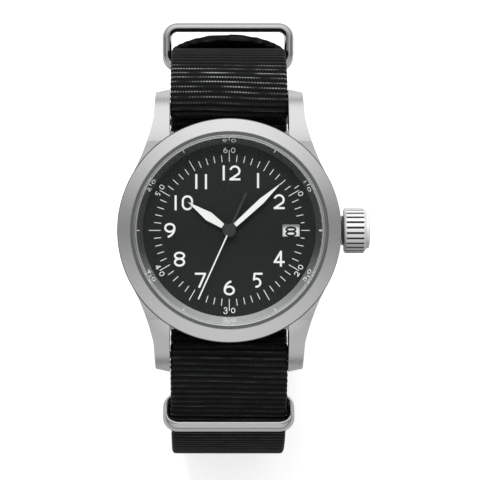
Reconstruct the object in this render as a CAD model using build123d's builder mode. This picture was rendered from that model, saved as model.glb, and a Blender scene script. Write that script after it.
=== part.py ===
from build123d import *
import os
from functools import cache
from math import asin, atan2, cos, degrees, hypot, pi, radians, sin, sqrt

os.makedirs("parts", exist_ok=True)

# A field watch, lying dial up on the flattened back of its closed strap loop
# +Z leaves the dial, +Y points to 12 o'clock, +X to 3 o'clock and the crown
# The origin is on the table, straight below the centre of the dial

# Head: overall sizes, with heights counted from the outer face of the back
case_bore_radius = 16.2
case_wall = 3.3
head_height = 11.0
lug_overhang = 5.35
strap_width = 20.4
lug_play = 0.2
back_height = 40.0
running_gap = 0.05
seat_gap = 0.02
loose_gap = 0.15
cut_overrun = 1.0

# Mid-case and lugs
midcase_bottom = 0.7
midcase_top = 8.3
midcase_lower_bevel = 0.9
midcase_upper_bevel = 0.12
lug_tip_width = 2.5
lug_tip_slant = 0.6
lug_tip_height = 2.9
lug_tip_bottom = 0.2
lug_root_fillet = 0.8
lug_edge_shares = ((0.677, 1.005), (0.746, 0.765), (0.903, 0.431))
lug_crest_shares = ((0.795, 1.0), (1.077, 0.795))
lug_foot_shares = (1.03, 0.79)

# Bezel, crystal and the bright inner ring
bezel_inset = 0.15
bezel_base = 8.38
bezel_shoulder = 9.9
bezel_crest = 0.14
bezel_edge = 0.1
crystal_ledge = 0.3
crystal_seat = 9.3
crystal_thickness = 2.1
crystal_bevel = 0.25
gasket_width = 0.5
rehaut_lip = 0.15
rehaut_slope = 1.0
rehaut_wall = 0.1

# Screw-in back
back_flange = 1.1
back_plate = 0.9
back_rim_height = 2.4
back_rim_wall = 1.3
back_gasket_inset = 0.65
back_gasket_wire = 0.18
notch_count = 6
notch_width = 2.4
notch_depth = 0.35
notch_length = 1.3

# Crown, its tube and its stem, on an axis level with the main plate
stem_height = 5.4
crown_diameter = 8.0
crown_standoff = 0.5
crown_length = 4.45
crown_cap_diameter = 6.35
crown_cap_length = 0.6
crown_edge_bevel = 0.45
crown_inner_bevel = 0.3
flute_count = 26
flute_radius = 0.2
crown_collar_radius = 2.6
crown_collar_length = 0.4
crown_pull = 1.2
crown_bore_radius = 1.75
crown_bore_depth = 3.0
tube_radius = 1.25
tube_bore_radius = 0.75
tube_length = 3.0
crown_gasket_wall = 0.35
crown_gasket_length = 0.8
stem_radius = 0.45
stem_inner_end = 4.2
sliding_pinion_radius = 0.85
sliding_pinion_length = 1.6
sliding_pinion_start = 5.4

# Movement: plate, holder and bridges
holder_bottom = 2.6
holder_bore_radius = 12.95
dial_height = 6.6
dial_thickness = 0.4
dial_play = 0.3
movement_radius = 12.8
main_plate_bottom = 5.0
main_plate_thickness = 0.95
bridge_bottom = 1.8
bridge_thickness = 0.5
bridge_radius = 10.9
bridge_split_x = 0.66
bridge_split_y = 1.7
pillar_radius = 0.8
pillar_inset = 0.15
jewel_radius = 0.6
jewel_thickness = 0.3
pivot_radius = 0.12
arbor_radius = 0.3
screw_head_radius = 0.75
screw_head_height = 0.2

# Gear train, where each wheel is a plate with teeth and a small pinion on its arbor
tooth_depth_share = 0.04
tooth_root_share = 0.24
tooth_tip_share = 0.12
wheel_thickness = 0.15
center_wheel_teeth = 80
center_wheel_radius = 4.4
center_wheel_height = 3.6
center_pinion_teeth = 12
center_pinion_radius = 0.78
third_wheel_teeth = 75
third_wheel_height = 3.2
third_pinion_teeth = 10
third_pinion_radius = 0.55
third_wheel_angle = 235.0
fourth_wheel_teeth = 70
fourth_wheel_radius = 2.9
fourth_wheel_height = 2.9
fourth_pinion_teeth = 10
fourth_pinion_radius = 0.582
escape_pinion_teeth = 7
escape_pinion_radius = 0.29
escape_wheel_teeth = 15
escape_wheel_radius = 2.1
escape_wheel_height = 2.58
escape_wheel_angle = 300.0
barrel_teeth = 84
barrel_radius = 5.46
barrel_angle = 115.0
barrel_bottom = 3.95
barrel_height = 0.9
barrel_wall = 0.12
barrel_rim_height = 0.2
barrel_arbor_radius = 1.1
mainspring_turns = 8
mainspring_strip = 0.1
ratchet_teeth = 48
ratchet_radius = 3.6
ratchet_thickness = 0.3
ratchet_gap = 0.1

# Escapement and balance, along one line that turns off the escape wheel
escapement_angle = 325.0
fork_reach = 2.75
balance_reach = 3.2
fork_width = 0.35
fork_tail = 1.5
pallet_length = 1.3
fork_thickness = 0.14
balance_radius = 3.4
balance_rim = 0.45
balance_height = 3.15
balance_thickness = 0.35
roller_radius = 0.7
hairspring_radius = 2.3
hairspring_turns = 9
hairspring_strip = 0.05
hairspring_height = 3.75
hairspring_width = 0.14

# Winding rotor
rotor_radius = 12.6
rotor_rim_width = 1.5
rotor_bottom = 1.2
rotor_plate = 0.3
rotor_rim_height = 1.25
rotor_hub_radius = 2.3
bearing_radius = 1.5
bearing_height = 1.0

# Motion work and date disc, between the main plate and the dial
cannon_teeth = 12
cannon_radius = 0.7
cannon_bore_radius = 0.3
cannon_tube_radius = 0.46
hour_wheel_teeth = 40
hour_wheel_radius = 2.35
hour_tube_radius = 0.76
hour_tube_bore_radius = 0.52
minute_wheel_teeth = 36
minute_wheel_angle = 60.0
minute_pinion_teeth = 10
motion_work_height = 6.0
motion_plate = 0.14
date_disc_outer_radius = 12.6
date_disc_inner_radius = 9.3
date_disc_height = 6.22
date_disc_thickness = 0.2
date_days = 31
shown_date = 8
date_driver_radius = 1.6
date_driver_teeth = 16

# Dial print, with letter heights as they look on the dial
print_thickness = 0.03
dial_bore_radius = 0.95
date_window_radius = 10.75
date_window_length = 3.0
date_window_width = 2.08
hour_number_height = 2.6
hour_number_width = 1.95
hour_number_stroke = 0.36
hour_number_spacing = 2.15
hour_number_circle = 10.0
hour_circle_shares = {9: 1.035, 10: 0.96, 11: 0.98}
hour_spacing_shares = {10: 0.95, 11: 0.78, 12: 0.9}
long_tick_share = 0.929
inner_tick_share = 0.794
short_tick_share = 0.874
window_tick_share = 0.831
small_circle_share = 0.927
tick_width = 0.12
small_number_height = 0.92
small_number_width = 0.72
small_number_stroke = 0.13
small_number_spacing = 1.35
date_number_height = 1.8
date_number_width = 1.95
date_number_stroke = 0.36
date_number_lag = 1.1
date_number_spacing_share = 0.62

# Hands, with lengths from the centre of the dial
hour_hand_height = 7.42
minute_hand_height = 7.72
second_hand_height = 8.02
hand_thickness = 0.12
hour_hand_angle = 304.3
hour_hand_tip = 8.9
hour_hand_widest = 4.33
hour_hand_width = 1.9
hour_hand_base_width = 1.0
hour_hub_radius = 1.15
minute_hand_angle = 47.6
minute_hand_tip = 12.4
minute_hand_widest = 7.6
minute_hand_width = 1.3
minute_hand_base_width = 0.9
minute_hub_radius = 1.0
lume_border = 0.15
lume_start = 1.35
lume_proud = 0.03
second_hand_angle = 204.3
second_hand_tip = 13.1
second_hand_tail = 7.15
second_hand_width = 0.25
second_tail_width = 0.34
second_hub_radius = 1.15
second_hub_step_radius = 0.92
second_pin_radius = 0.33
second_pin_bore_radius = 0.17
second_pin_rise = 0.12

# Spring bars in the lugs
bar_standoff = 2.5
bar_height = 2.7
bar_radius = 0.9
bar_bore_radius = 0.45
tip_radius = 0.4
tip_length = 3.2
tip_engagement = 0.8
lug_hole_depth = 1.1
tip_travel = 0.75
bar_spring_radius = 0.42
bar_spring_wire = 0.1

# Strap loop, where each side bulges out past its spring bar
band_thickness = 1.3
strap_bulge_12 = 11.3
strap_bulge_6 = 19.6
leave_angle_12 = 30.0
leave_angle_6 = 25.0
under_case_bend = 1.6
tail_leave_angle = 70.0
tail_length = 8.9
tail_tip_depth = 5.5
fold_run = 6.0
fold_lean = 10.0
layer_gap = 0.15
eyelet_radius = 1.0
eyelet_spacing = 8.5
eyelets_before = 4
eyelets_after = 2
eyelet_stretch = 3.8
flap_root_gap = 0.7
flap_turn_inset = 2.0
flap_width = 17.6

# Metal rings on the strap, bent from oval wire
ring_wire = 1.65
ring_wire_depth = 2.0
ring_corner_radius = 1.9
ring_slack = 0.9
keeper_outer_width = 24.1
upper_keeper_outer_height = 8.41
lower_keeper_outer_height = 8.93
upper_keeper_drop = 2.6
keeper_slack = 0.28
keeper_gap = 0.15
flap_ring_wire = 1.45
flap_ring_wire_depth = 2.6
flap_ring_corner_radius = 2.0
flap_ring_outer_width = 23.5
flap_ring_angle = 41.2
flap_ring_rise = 6.15

# Buckle on the back of the strap
buckle_wire = 1.5
buckle_outer_width = 25.0
buckle_corner_radius = 1.9
pivot_angle = 42.0
front_bar_angle = 28.0
tongue_width = 1.6
tongue_thickness = 0.8
tongue_eye_radius = 1.35
tongue_overhang = 1.0
tongue_slot_width = 2.4

# Radii and levels worked out from the sizes above
case_radius = case_bore_radius + case_wall
bezel_radius = case_radius - bezel_inset
crystal_radius = case_bore_radius + crystal_ledge
rehaut_top_radius = case_bore_radius - rehaut_lip
rehaut_base_radius = rehaut_top_radius - rehaut_slope
dial_radius = case_bore_radius - dial_play
back_radius = case_bore_radius + back_flange
back_gasket_radius = case_bore_radius + back_gasket_inset
crown_inner_face = case_radius + crown_standoff
bar_reach = case_radius + bar_standoff
lug_gap = strap_width + 2 * lug_play
bezel_bore_radius = crystal_radius + gasket_width
dial_top = dial_height + dial_thickness
band_half = band_thickness / 2
bar_wrap = bar_radius + running_gap + band_half
layer_step = band_thickness + layer_gap


def level(height):
    """Height above the table of a level counted from the outer face of the back."""
    return back_height + height


def polar(radius, angle):
    """A point in plan, with its angle in degrees from 3 o'clock towards 12."""
    return (radius * cos(radians(angle)), radius * sin(radians(angle)))


def clock(radius, angle):
    """A point in plan, with its angle in degrees clockwise from 12 o'clock."""
    return (radius * sin(radians(angle)), radius * cos(radians(angle)))


def heading(angle):
    """The unit direction at an angle in degrees."""
    return (cos(radians(angle)), sin(radians(angle)))


def ahead(point, distance, angle):
    """The point that lies a distance away from another at an angle in degrees."""
    return (point[0] + distance * cos(radians(angle)), point[1] + distance * sin(radians(angle)))


def washer(outer, inner, bottom, height, center=(0, 0)):
    """A flat ring or disc whose lower face is at a level of the head."""
    with BuildPart() as piece:
        with BuildSketch(Plane.XY.offset(level(bottom))):
            with Locations(center):
                Circle(outer)
                if inner:
                    Circle(inner, mode=Mode.SUBTRACT)
        extrude(amount=height)
    return piece.part


def toothed_plate(teeth, pitch_radius, bottom, height, center=(0, 0), turn=0.0):
    """A flat gear whose teeth are worked out from its pitch radius and tooth count."""
    pitch = 2 * pi * pitch_radius / teeth
    root, tip_circle = pitch_radius - pitch / 4, pitch_radius + pitch / 4
    tooth_angle = 360 / teeth
    corners = []
    for tooth in range(teeth):
        middle = turn + tooth * tooth_angle
        for radius, side in (
            (root, -tooth_root_share),
            (tip_circle, -tooth_tip_share),
            (tip_circle, tooth_tip_share),
            (root, tooth_root_share),
        ):
            x, y = polar(radius, middle + side * tooth_angle)
            corners.append((center[0] + x, center[1] + y))
    with BuildPart() as gear:
        with BuildSketch(Plane.XY.offset(level(bottom))):
            Polygon(*corners, align=None)
        extrude(amount=height)
    return gear.part


def spiral_strip(inner, outer, turns, strip, bottom, height, center):
    """A flat spiral spring, as one strip with evenly spaced turns."""
    steps = turns * 20
    sides = ([], [])
    for step in range(steps + 1):
        radius = inner + (outer - inner) * step / steps
        for side, offset_radius in zip(sides, (radius - strip / 2, radius + strip / 2)):
            x, y = polar(offset_radius, 360 * turns * step / steps)
            side.append((center[0] + x, center[1] + y))
    with BuildPart() as spring:
        with BuildSketch(Plane.XY.offset(level(bottom))):
            Polygon(*sides[0], *reversed(sides[1]), align=None)
        extrude(amount=height)
    return spring.part


@cache
def digit_sketch(digit, width, height, stroke):
    """One plain printed digit, drawn as strokes and rings about its own centre."""
    a, b = (width - stroke) / 2, (height - stroke) / 2
    rings = {"6": ((-0.4, 0.6),), "8": ((0.53, 0.47), (-0.47, 0.53))}
    with BuildSketch() as figure:
        with BuildLine() as strokes:
            if digit == "0":
                side = Line((a, a - b), (a, b - a))
                top = JernArc(side @ 1, (0, 1), a, 180)
                far = Line(top @ 1, (-a, a - b))
                JernArc(far @ 1, (0, -1), a, 180)
            elif digit == "1":
                Line((0, -height / 2), (0, height / 2))
            elif digit == "2":
                hook = JernArc(ahead((0, b - a), a, 165), heading(75), a, -205)
                foot = Line(hook @ 1, (-a, -b))
                Line(foot @ 1, (width / 2, -b))
            elif digit == "3":
                waist = (-0.15 * a, 0.06 * b)
                ThreePointArc((-0.8 * a, 0.72 * b), (0.85 * a, 0.5 * b), waist)
                ThreePointArc(waist, (a, -0.5 * b), (-0.95 * a, -0.62 * b))
            elif digit == "4":
                stem_x, beam_y = 0.4 * a, -0.45 * b
                slope = Line((stem_x, height / 2), (-a, beam_y))
                Line(slope @ 1, (width / 2, beam_y))
                Line((stem_x, -height / 2), (stem_x, height / 2))
            elif digit == "5":
                roof = Line((0.4 * width, b), (-0.75 * a, b))
                wall = Line(roof @ 1, (-0.9 * a, 0.1 * b))
                JernArc(wall @ 1, heading(38), 0.62 * b, -232)
            elif digit == "6":
                ThreePointArc((-a, -0.4 * b), (-0.62 * a, 0.5 * b), (0.45 * a, b))
            elif digit == "7":
                roof = Line((-width / 2, b), (a, b))
                Line(roof @ 1, (-0.35 * a, -height / 2))
        edges = strokes.edges() if strokes.line else []
        for edge in edges:
            trace(edge, line_width=stroke)
        ends = [end for edge in edges for end in (edge @ 0, edge @ 1)]
        joints = [end for end in ends if sum((end - other).length < stroke / 4 for other in ends) > 1]
        if joints:
            with Locations(*joints):
                Circle(stroke / 2)
        for mode, edge_shift in ((Mode.ADD, stroke / 2), (Mode.SUBTRACT, -stroke / 2)):
            for middle_share, ring_share in rings.get(digit, ()):
                with Locations((0, middle_share * b)):
                    Ellipse(a + edge_shift, ring_share * b + edge_shift, mode=mode)
    return figure.sketch


def digit_figure(digit, width, height, stroke):
    """A digit sketch, where a nine is a six turned half round."""
    if digit == "9":
        return digit_sketch("6", width, height, stroke).rotate(Axis.Z, 180)
    return digit_sketch(digit, width, height, stroke)


def number_sketch(number, width, height, stroke, spacing):
    """A printed number, with its digits side by side about its own centre."""
    digits = str(number)
    with BuildSketch() as figure:
        for place, digit in enumerate(digits):
            with Locations(((place - (len(digits) - 1) / 2) * spacing, 0)):
                add(digit_figure(digit, width, height, stroke))
    return figure.sketch


def printed(figures, bottom, name):
    """Thin print, from a list of figures with the place and turn of each."""
    with BuildPart() as layer:
        with BuildSketch(Plane.XY.offset(level(bottom))):
            for figure, place, turn in figures:
                with Locations(Location((*place, 0), (0, 0, turn))):
                    add(figure)
        extrude(amount=print_thickness)
    layer.part.label = name
    return layer.part


# Mid-case: a turned body with four lugs, bored for the movement, with a seat for the crown tube
lug_inner_edge = lug_gap / 2
lug_reach = case_radius + lug_overhang
edge_points = [(x * case_radius, y * case_radius) for x, y in lug_edge_shares]
crest_points = [(y * case_radius, z * midcase_top) for y, z in lug_crest_shares]
with BuildPart() as lug:
    with BuildSketch(Plane.XY.offset(level(0))):
        with BuildLine():
            tip = Line(
                (lug_inner_edge, lug_reach),
                (lug_inner_edge + lug_tip_width, lug_reach - lug_tip_slant),
            )
            Line(tip @ 1, edge_points[0])
            ThreePointArc(*edge_points)
            Polyline(edge_points[2], (lug_inner_edge, edge_points[2][1]), tip @ 0)
        make_face()
    extrude(amount=head_height)
    with BuildSketch(Plane.YZ):
        with BuildLine():
            tip_top = (lug_reach, level(lug_tip_height))
            ThreePointArc(*[(y, level(z)) for y, z in crest_points], tip_top)
            Polyline(
                tip_top,
                (lug_reach - lug_tip_bottom, level(lug_tip_bottom)),
                (lug_foot_shares[0] * case_radius, level(lug_tip_bottom)),
                (lug_foot_shares[1] * case_radius, level(midcase_bottom)),
                (0, level(midcase_bottom)),
                (0, level(midcase_top)),
                (crest_points[0][0], level(midcase_top)),
            )
        make_face()
    extrude(amount=case_radius, mode=Mode.INTERSECT)
with BuildPart() as mid_case:
    with BuildSketch(Plane.XZ):
        with BuildLine():
            Polyline(
                (0, level(midcase_bottom)),
                (case_radius - midcase_lower_bevel, level(midcase_bottom)),
                (case_radius, level(midcase_bottom + midcase_lower_bevel)),
                (case_radius, level(midcase_top - midcase_upper_bevel)),
                (case_radius - midcase_upper_bevel, level(midcase_top)),
                (0, level(midcase_top)),
                close=True,
            )
        make_face()
    revolve(axis=Axis.Z)
    add(lug.part)
    mirror(lug.part, about=Plane.YZ)
    mirror(about=Plane.XZ)
    root_edges = (
        mid_case.edges()
        .filter_by(Axis.Z)
        .filter_by(lambda edge: abs(abs(edge.center().X) - lug_inner_edge) < seat_gap)
        .filter_by(lambda edge: abs(edge.center().Y) < case_radius)
    )
    fillet(root_edges, lug_root_fillet)
    with BuildSketch(Plane.XY.offset(level(0))):
        Circle(case_bore_radius)
    extrude(amount=head_height, mode=Mode.SUBTRACT)
    with BuildSketch(Plane.XY.offset(level(midcase_bottom))):
        Circle(back_gasket_radius + 2 * back_gasket_wire)
    extrude(amount=2 * back_gasket_wire, mode=Mode.SUBTRACT)
    with BuildSketch(Plane.YZ.offset(case_bore_radius - cut_overrun)):
        with Locations((0, level(stem_height))):
            Circle(tube_radius)
    extrude(amount=case_radius - case_bore_radius + 2 * cut_overrun, mode=Mode.SUBTRACT)
    with BuildSketch(Plane.YZ):
        with Locations((bar_reach, level(bar_height)), (-bar_reach, level(bar_height))):
            Circle(bar_bore_radius)
    extrude(amount=lug_inner_edge + lug_hole_depth, both=True, mode=Mode.SUBTRACT)

# Bezel: a turned ring whose brushed top slopes out from the crystal, over a ledge for the crystal
with BuildPart() as bezel:
    with BuildSketch(Plane.XZ):
        with BuildLine():
            start = (case_bore_radius, level(bezel_base))
            Polyline(
                start,
                (bezel_radius, level(bezel_base)),
                (bezel_radius, level(bezel_shoulder - bezel_edge)),
                (bezel_radius - bezel_edge, level(bezel_shoulder)),
                (bezel_bore_radius + bezel_crest, level(head_height)),
                (bezel_bore_radius, level(head_height - bezel_crest)),
                (bezel_bore_radius, level(crystal_seat)),
                (case_bore_radius, level(crystal_seat)),
                start,
            )
        make_face()
    revolve(axis=Axis.Z)

# Crystal: a flat disc with bevelled edges, and its ring gasket
with BuildPart() as crystal:
    with BuildSketch(Plane.XY.offset(level(crystal_seat + seat_gap))):
        Circle(crystal_radius)
    extrude(amount=crystal_thickness)
    chamfer(crystal.edges(), crystal_bevel)
crystal_gasket = washer(
    bezel_bore_radius - seat_gap,
    crystal_radius + seat_gap,
    crystal_seat + seat_gap,
    head_height - crystal_seat - bezel_crest,
)

# Rehaut: the bright cone between the dial and the crystal
rehaut_outer = case_bore_radius - seat_gap
with BuildPart() as rehaut_ring:
    with BuildSketch(Plane.XZ):
        with BuildLine():
            Polyline(
                (rehaut_base_radius, level(dial_top + seat_gap)),
                (rehaut_outer, level(dial_top + seat_gap)),
                (rehaut_outer, level(crystal_seat)),
                (rehaut_top_radius, level(crystal_seat)),
                (rehaut_base_radius, level(dial_top + seat_gap + rehaut_wall)),
                close=True,
            )
        make_face()
    revolve(axis=Axis.Z)

# Back: a screw-in cover with a rim, notches for its key and a gasket under its flange
back_rim_radius = case_bore_radius - running_gap
with BuildPart() as case_back:
    with BuildSketch(Plane.XY.offset(level(0))):
        Circle(back_radius)
    extrude(amount=midcase_bottom - seat_gap)
    with BuildSketch(Plane.XY.offset(level(0))):
        Circle(back_rim_radius)
    extrude(amount=back_rim_height)
    with BuildSketch(Plane.XY.offset(level(back_plate))):
        Circle(back_rim_radius - back_rim_wall)
    extrude(amount=head_height, mode=Mode.SUBTRACT)
    with BuildSketch(Plane.XY.offset(level(0))):
        with PolarLocations(back_radius - notch_length / 2, notch_count):
            Rectangle(notch_length, notch_width)
    extrude(amount=notch_depth, mode=Mode.SUBTRACT)
with BuildPart() as case_back_gasket:
    with BuildSketch(Plane.XZ):
        with Locations((back_gasket_radius, level(midcase_bottom + back_gasket_wire))):
            Circle(back_gasket_wire - seat_gap)
    revolve(axis=Axis.Z)

# Crown tube, gasket, fluted crown and winding stem, all turned about the stem's axis
stem_z = level(stem_height)
stem_axis = Axis((0, 0, stem_z), (1, 0, 0))
crown_outer_face = crown_inner_face + crown_length
crown_radius = crown_diameter / 2
crown_cap_radius = crown_cap_diameter / 2
crown_rim_end = crown_outer_face - crown_cap_length
crown_collar_face = crown_inner_face - crown_collar_length
tube_start = case_bore_radius
with BuildPart() as crown_tube:
    with BuildSketch(Plane.YZ.offset(tube_start)):
        with Locations((0, stem_z)):
            Circle(tube_radius - seat_gap)
            Circle(tube_bore_radius, mode=Mode.SUBTRACT)
    extrude(amount=tube_length + case_radius - case_bore_radius)
with BuildPart() as crown:
    with BuildSketch(Plane.XZ):
        with BuildLine():
            Polyline(
                (crown_collar_face, stem_z + crown_bore_radius),
                (crown_collar_face, stem_z + crown_collar_radius),
                (crown_inner_face, stem_z + crown_collar_radius),
                (crown_inner_face, stem_z + crown_radius - crown_inner_bevel),
                (crown_inner_face + crown_inner_bevel, stem_z + crown_radius),
                (crown_rim_end - crown_edge_bevel, stem_z + crown_radius),
                (crown_rim_end, stem_z + crown_cap_radius + crown_edge_bevel / 2),
                (crown_rim_end, stem_z + crown_cap_radius),
                (crown_outer_face - crown_edge_bevel / 2, stem_z + crown_cap_radius),
                (crown_outer_face, stem_z + crown_cap_radius - crown_edge_bevel / 2),
                (crown_outer_face, stem_z),
                (crown_inner_face + crown_bore_depth, stem_z),
                (crown_inner_face + crown_bore_depth, stem_z + crown_bore_radius),
                close=True,
            )
        make_face()
    revolve(axis=stem_axis)
    with BuildSketch(Plane.YZ.offset(crown_inner_face + crown_inner_bevel)):
        with Locations((0, stem_z)):
            with PolarLocations(crown_radius, flute_count):
                Circle(flute_radius)
    extrude(amount=crown_length, mode=Mode.SUBTRACT)
with BuildPart() as winding_stem:
    with BuildSketch(Plane.YZ.offset(stem_inner_end)):
        with Locations((0, stem_z)):
            Circle(stem_radius)
    extrude(amount=crown_inner_face + crown_bore_depth - stem_inner_end - seat_gap)
with BuildPart() as crown_gasket:
    with BuildSketch(Plane.YZ.offset(crown_inner_face + crown_inner_bevel)):
        with Locations((0, stem_z)):
            Circle(tube_radius + crown_gasket_wall)
            Circle(tube_radius + running_gap, mode=Mode.SUBTRACT)
    extrude(amount=crown_gasket_length)
with BuildPart() as sliding_pinion:
    with BuildSketch(Plane.YZ.offset(sliding_pinion_start)):
        with Locations((0, stem_z)):
            RegularPolygon(sliding_pinion_radius, cannon_teeth)
            Circle(stem_radius + seat_gap, mode=Mode.SUBTRACT)
    extrude(amount=sliding_pinion_length)

# Wheel centres, with the fourth wheel above the center wheel on one axis
center = (0, 0)
train_distance = center_wheel_radius + third_pinion_radius
third_wheel_radius = train_distance - fourth_pinion_radius
third_place = polar(train_distance, third_wheel_angle)
escape_place = polar(fourth_wheel_radius + escape_pinion_radius, escape_wheel_angle)
barrel_place = polar(barrel_radius + center_pinion_radius, barrel_angle)
fork_place = ahead(escape_place, fork_reach, escapement_angle)
balance_place = ahead(fork_place, balance_reach, escapement_angle)
plate_top = main_plate_bottom + main_plate_thickness
bridge_top = bridge_bottom + bridge_thickness
arbor_top = main_plate_bottom + main_plate_thickness / 2

# Main plate: a disc with a channel for the stem, a window for its pinion and holes for the arbors
channel_width = 2 * (stem_radius + loose_gap)
window_width = 2 * (sliding_pinion_radius + loose_gap)
window_length = sliding_pinion_length + 2 * (crown_pull + loose_gap)
with BuildPart() as main_plate:
    with BuildSketch(Plane.XY.offset(level(main_plate_bottom))):
        Circle(movement_radius)
        with Locations((sliding_pinion_start + sliding_pinion_length / 2, 0)):
            Rectangle(window_length, window_width, mode=Mode.SUBTRACT)
        with Locations((stem_inner_end - loose_gap, 0)):
            Rectangle(movement_radius, channel_width, align=(Align.MIN, Align.CENTER), mode=Mode.SUBTRACT)
        with Locations(center):
            Circle(arbor_radius + 2 * running_gap, mode=Mode.SUBTRACT)
    extrude(amount=main_plate_thickness)
    with BuildSketch(Plane.XY.offset(level(main_plate_bottom))):
        with Locations(third_place, escape_place, fork_place, balance_place):
            Circle(pivot_radius + running_gap)
        with Locations(barrel_place):
            Circle(barrel_arbor_radius + running_gap)
    extrude(amount=main_plate_thickness / 2, mode=Mode.SUBTRACT)

# Movement holder: a plain ring between the plate and the mid-case, slotted for the stem
with BuildPart() as movement_holder:
    with BuildSketch(Plane.XY.offset(level(holder_bottom))):
        Circle(case_bore_radius - running_gap)
        Circle(holder_bore_radius, mode=Mode.SUBTRACT)
    extrude(amount=dial_height - holder_bottom - seat_gap)
    with BuildSketch(Plane.YZ.offset(holder_bore_radius - cut_overrun)):
        with Locations((0, stem_z)):
            Circle(stem_radius + loose_gap)
    extrude(amount=case_bore_radius, mode=Mode.SUBTRACT)

# Bridges: three flat plates behind the train, each standing on pillars from the main plate
pillar_height = main_plate_bottom - bridge_top - seat_gap


def bridge(low, high, pillars, holes):
    """A slice of the bridge disc between two corners, with its pillars and pivot holes."""
    with BuildPart() as plate:
        with BuildSketch(Plane.XY.offset(level(bridge_bottom))):
            Circle(bridge_radius)
            with Locations(low):
                size = (high[0] - low[0], high[1] - low[1])
                Rectangle(*size, align=(Align.MIN, Align.MIN), mode=Mode.INTERSECT)
            for place, radius in holes:
                with Locations(place):
                    Circle(radius, mode=Mode.SUBTRACT)
        extrude(amount=bridge_thickness)
        with BuildSketch(Plane.XY.offset(level(bridge_top))):
            with Locations(*pillars):
                Circle(pillar_radius)
        extrude(amount=pillar_height)
    return plate.part


pillar_circle = bridge_radius - pillar_radius - pillar_inset
barrel_pillars = [polar(pillar_circle, angle) for angle in (28, 160)]
train_pillars = [polar(pillar_circle, angle) for angle in (190, 262)]
balance_pillars = [polar(pillar_circle, angle) for angle in (-8, 280)]
jewel_hole = jewel_radius + seat_gap
barrel_bridge = bridge(
    (-bridge_radius, bridge_split_y + loose_gap),
    (bridge_radius, bridge_radius),
    barrel_pillars,
    [(barrel_place, barrel_arbor_radius + running_gap)],
)
train_bridge = bridge(
    (-bridge_radius, -bridge_radius),
    (bridge_split_x, bridge_split_y),
    train_pillars,
    [(center, jewel_hole), (third_place, jewel_hole)],
)
balance_cock = bridge(
    (bridge_split_x + loose_gap, -bridge_radius),
    (bridge_radius, bridge_split_y),
    balance_pillars,
    [(escape_place, jewel_hole), (fork_place, jewel_hole), (balance_place, jewel_hole)],
)

# Jewels in the bridges and screw heads on the bridges over their pillars
with BuildPart() as jewels:
    with BuildSketch(Plane.XY.offset(level(bridge_top - jewel_thickness))):
        with Locations(center, third_place, escape_place, fork_place, balance_place):
            Circle(jewel_radius)
            Circle(pivot_radius + running_gap, mode=Mode.SUBTRACT)
    extrude(amount=jewel_thickness)
with BuildPart() as bridge_screws:
    with BuildSketch(Plane.XY.offset(level(bridge_bottom - screw_head_height - seat_gap))):
        with Locations(*barrel_pillars, *train_pillars, *balance_pillars):
            Circle(screw_head_radius)
    extrude(amount=screw_head_height)
    with BuildSketch(Plane.XY.offset(level(bridge_bottom - screw_head_height - seat_gap))):
        with Locations(*barrel_pillars, *train_pillars, *balance_pillars):
            Rectangle(2 * screw_head_radius, screw_head_radius / 3)
    extrude(amount=screw_head_height / 2, mode=Mode.SUBTRACT)


def arbored(plates, place, radius, bottom, top):
    """A wheel: toothed plates joined on an arbor with a thin pivot at each end."""
    with BuildPart() as wheel:
        for plate in plates:
            add(plate)
        with BuildSketch(Plane.XY.offset(level(bottom))):
            with Locations(place):
                Circle(radius)
        extrude(amount=top - bottom)
        with BuildSketch(Plane.XY.offset(level(bridge_top - jewel_thickness))):
            with Locations(place):
                Circle(pivot_radius)
        extrude(amount=arbor_top - seat_gap - bridge_top + jewel_thickness)
    return wheel.part


# Gear train, each wheel between the bridges and the main plate
arbor_bottom = bridge_top + running_gap
plate_bottom = main_plate_bottom - running_gap
pinion_height = 2 * wheel_thickness
with BuildPart() as center_wheel:
    add(toothed_plate(center_wheel_teeth, center_wheel_radius, center_wheel_height, wheel_thickness))
    pinion_bottom = barrel_bottom + barrel_height - barrel_rim_height
    add(toothed_plate(center_pinion_teeth, center_pinion_radius, pinion_bottom, barrel_rim_height))
    with BuildSketch(Plane.XY.offset(level(center_wheel_height))):
        Circle(arbor_radius)
        Circle(pivot_radius + running_gap, mode=Mode.SUBTRACT)
    extrude(amount=motion_work_height - center_wheel_height + motion_plate)
    with BuildSketch(Plane.XY.offset(level(center_wheel_height))):
        Circle(pivot_radius + running_gap)
    extrude(amount=head_height, mode=Mode.SUBTRACT)
third_disc = toothed_plate(
    third_wheel_teeth, third_wheel_radius, third_wheel_height, wheel_thickness, third_place
)
third_pinion = toothed_plate(
    third_pinion_teeth, third_pinion_radius, center_wheel_height, pinion_height, third_place
)
third_wheel = arbored(
    [third_disc, third_pinion],
    third_place,
    arbor_radius,
    arbor_bottom,
    plate_bottom,
)
with BuildPart() as fourth_wheel:
    add(toothed_plate(fourth_wheel_teeth, fourth_wheel_radius, fourth_wheel_height, wheel_thickness))
    add(toothed_plate(fourth_pinion_teeth, fourth_pinion_radius, third_wheel_height, wheel_thickness))
    with BuildSketch(Plane.XY.offset(level(arbor_bottom))):
        Circle(arbor_radius)
    extrude(amount=third_wheel_height + wheel_thickness - arbor_bottom)
    with BuildSketch(Plane.XY.offset(level(bridge_top - jewel_thickness))):
        Circle(pivot_radius)
    extrude(amount=second_hand_height - bridge_top + jewel_thickness)
escape_corners = []
for tooth in range(escape_wheel_teeth):
    tooth_turn = 360 * tooth / escape_wheel_teeth
    for radius_share, turn_share in ((0.76, 0), (1, 0.5), (0.98, 0.56), (0.76, 0.35)):
        x, y = polar(radius_share * escape_wheel_radius, tooth_turn + turn_share * 360 / escape_wheel_teeth)
        escape_corners.append((escape_place[0] + x, escape_place[1] + y))
with BuildPart() as escape_plate:
    with BuildSketch(Plane.XY.offset(level(escape_wheel_height))):
        Polygon(*escape_corners, align=None)
    extrude(amount=fork_thickness)
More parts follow.
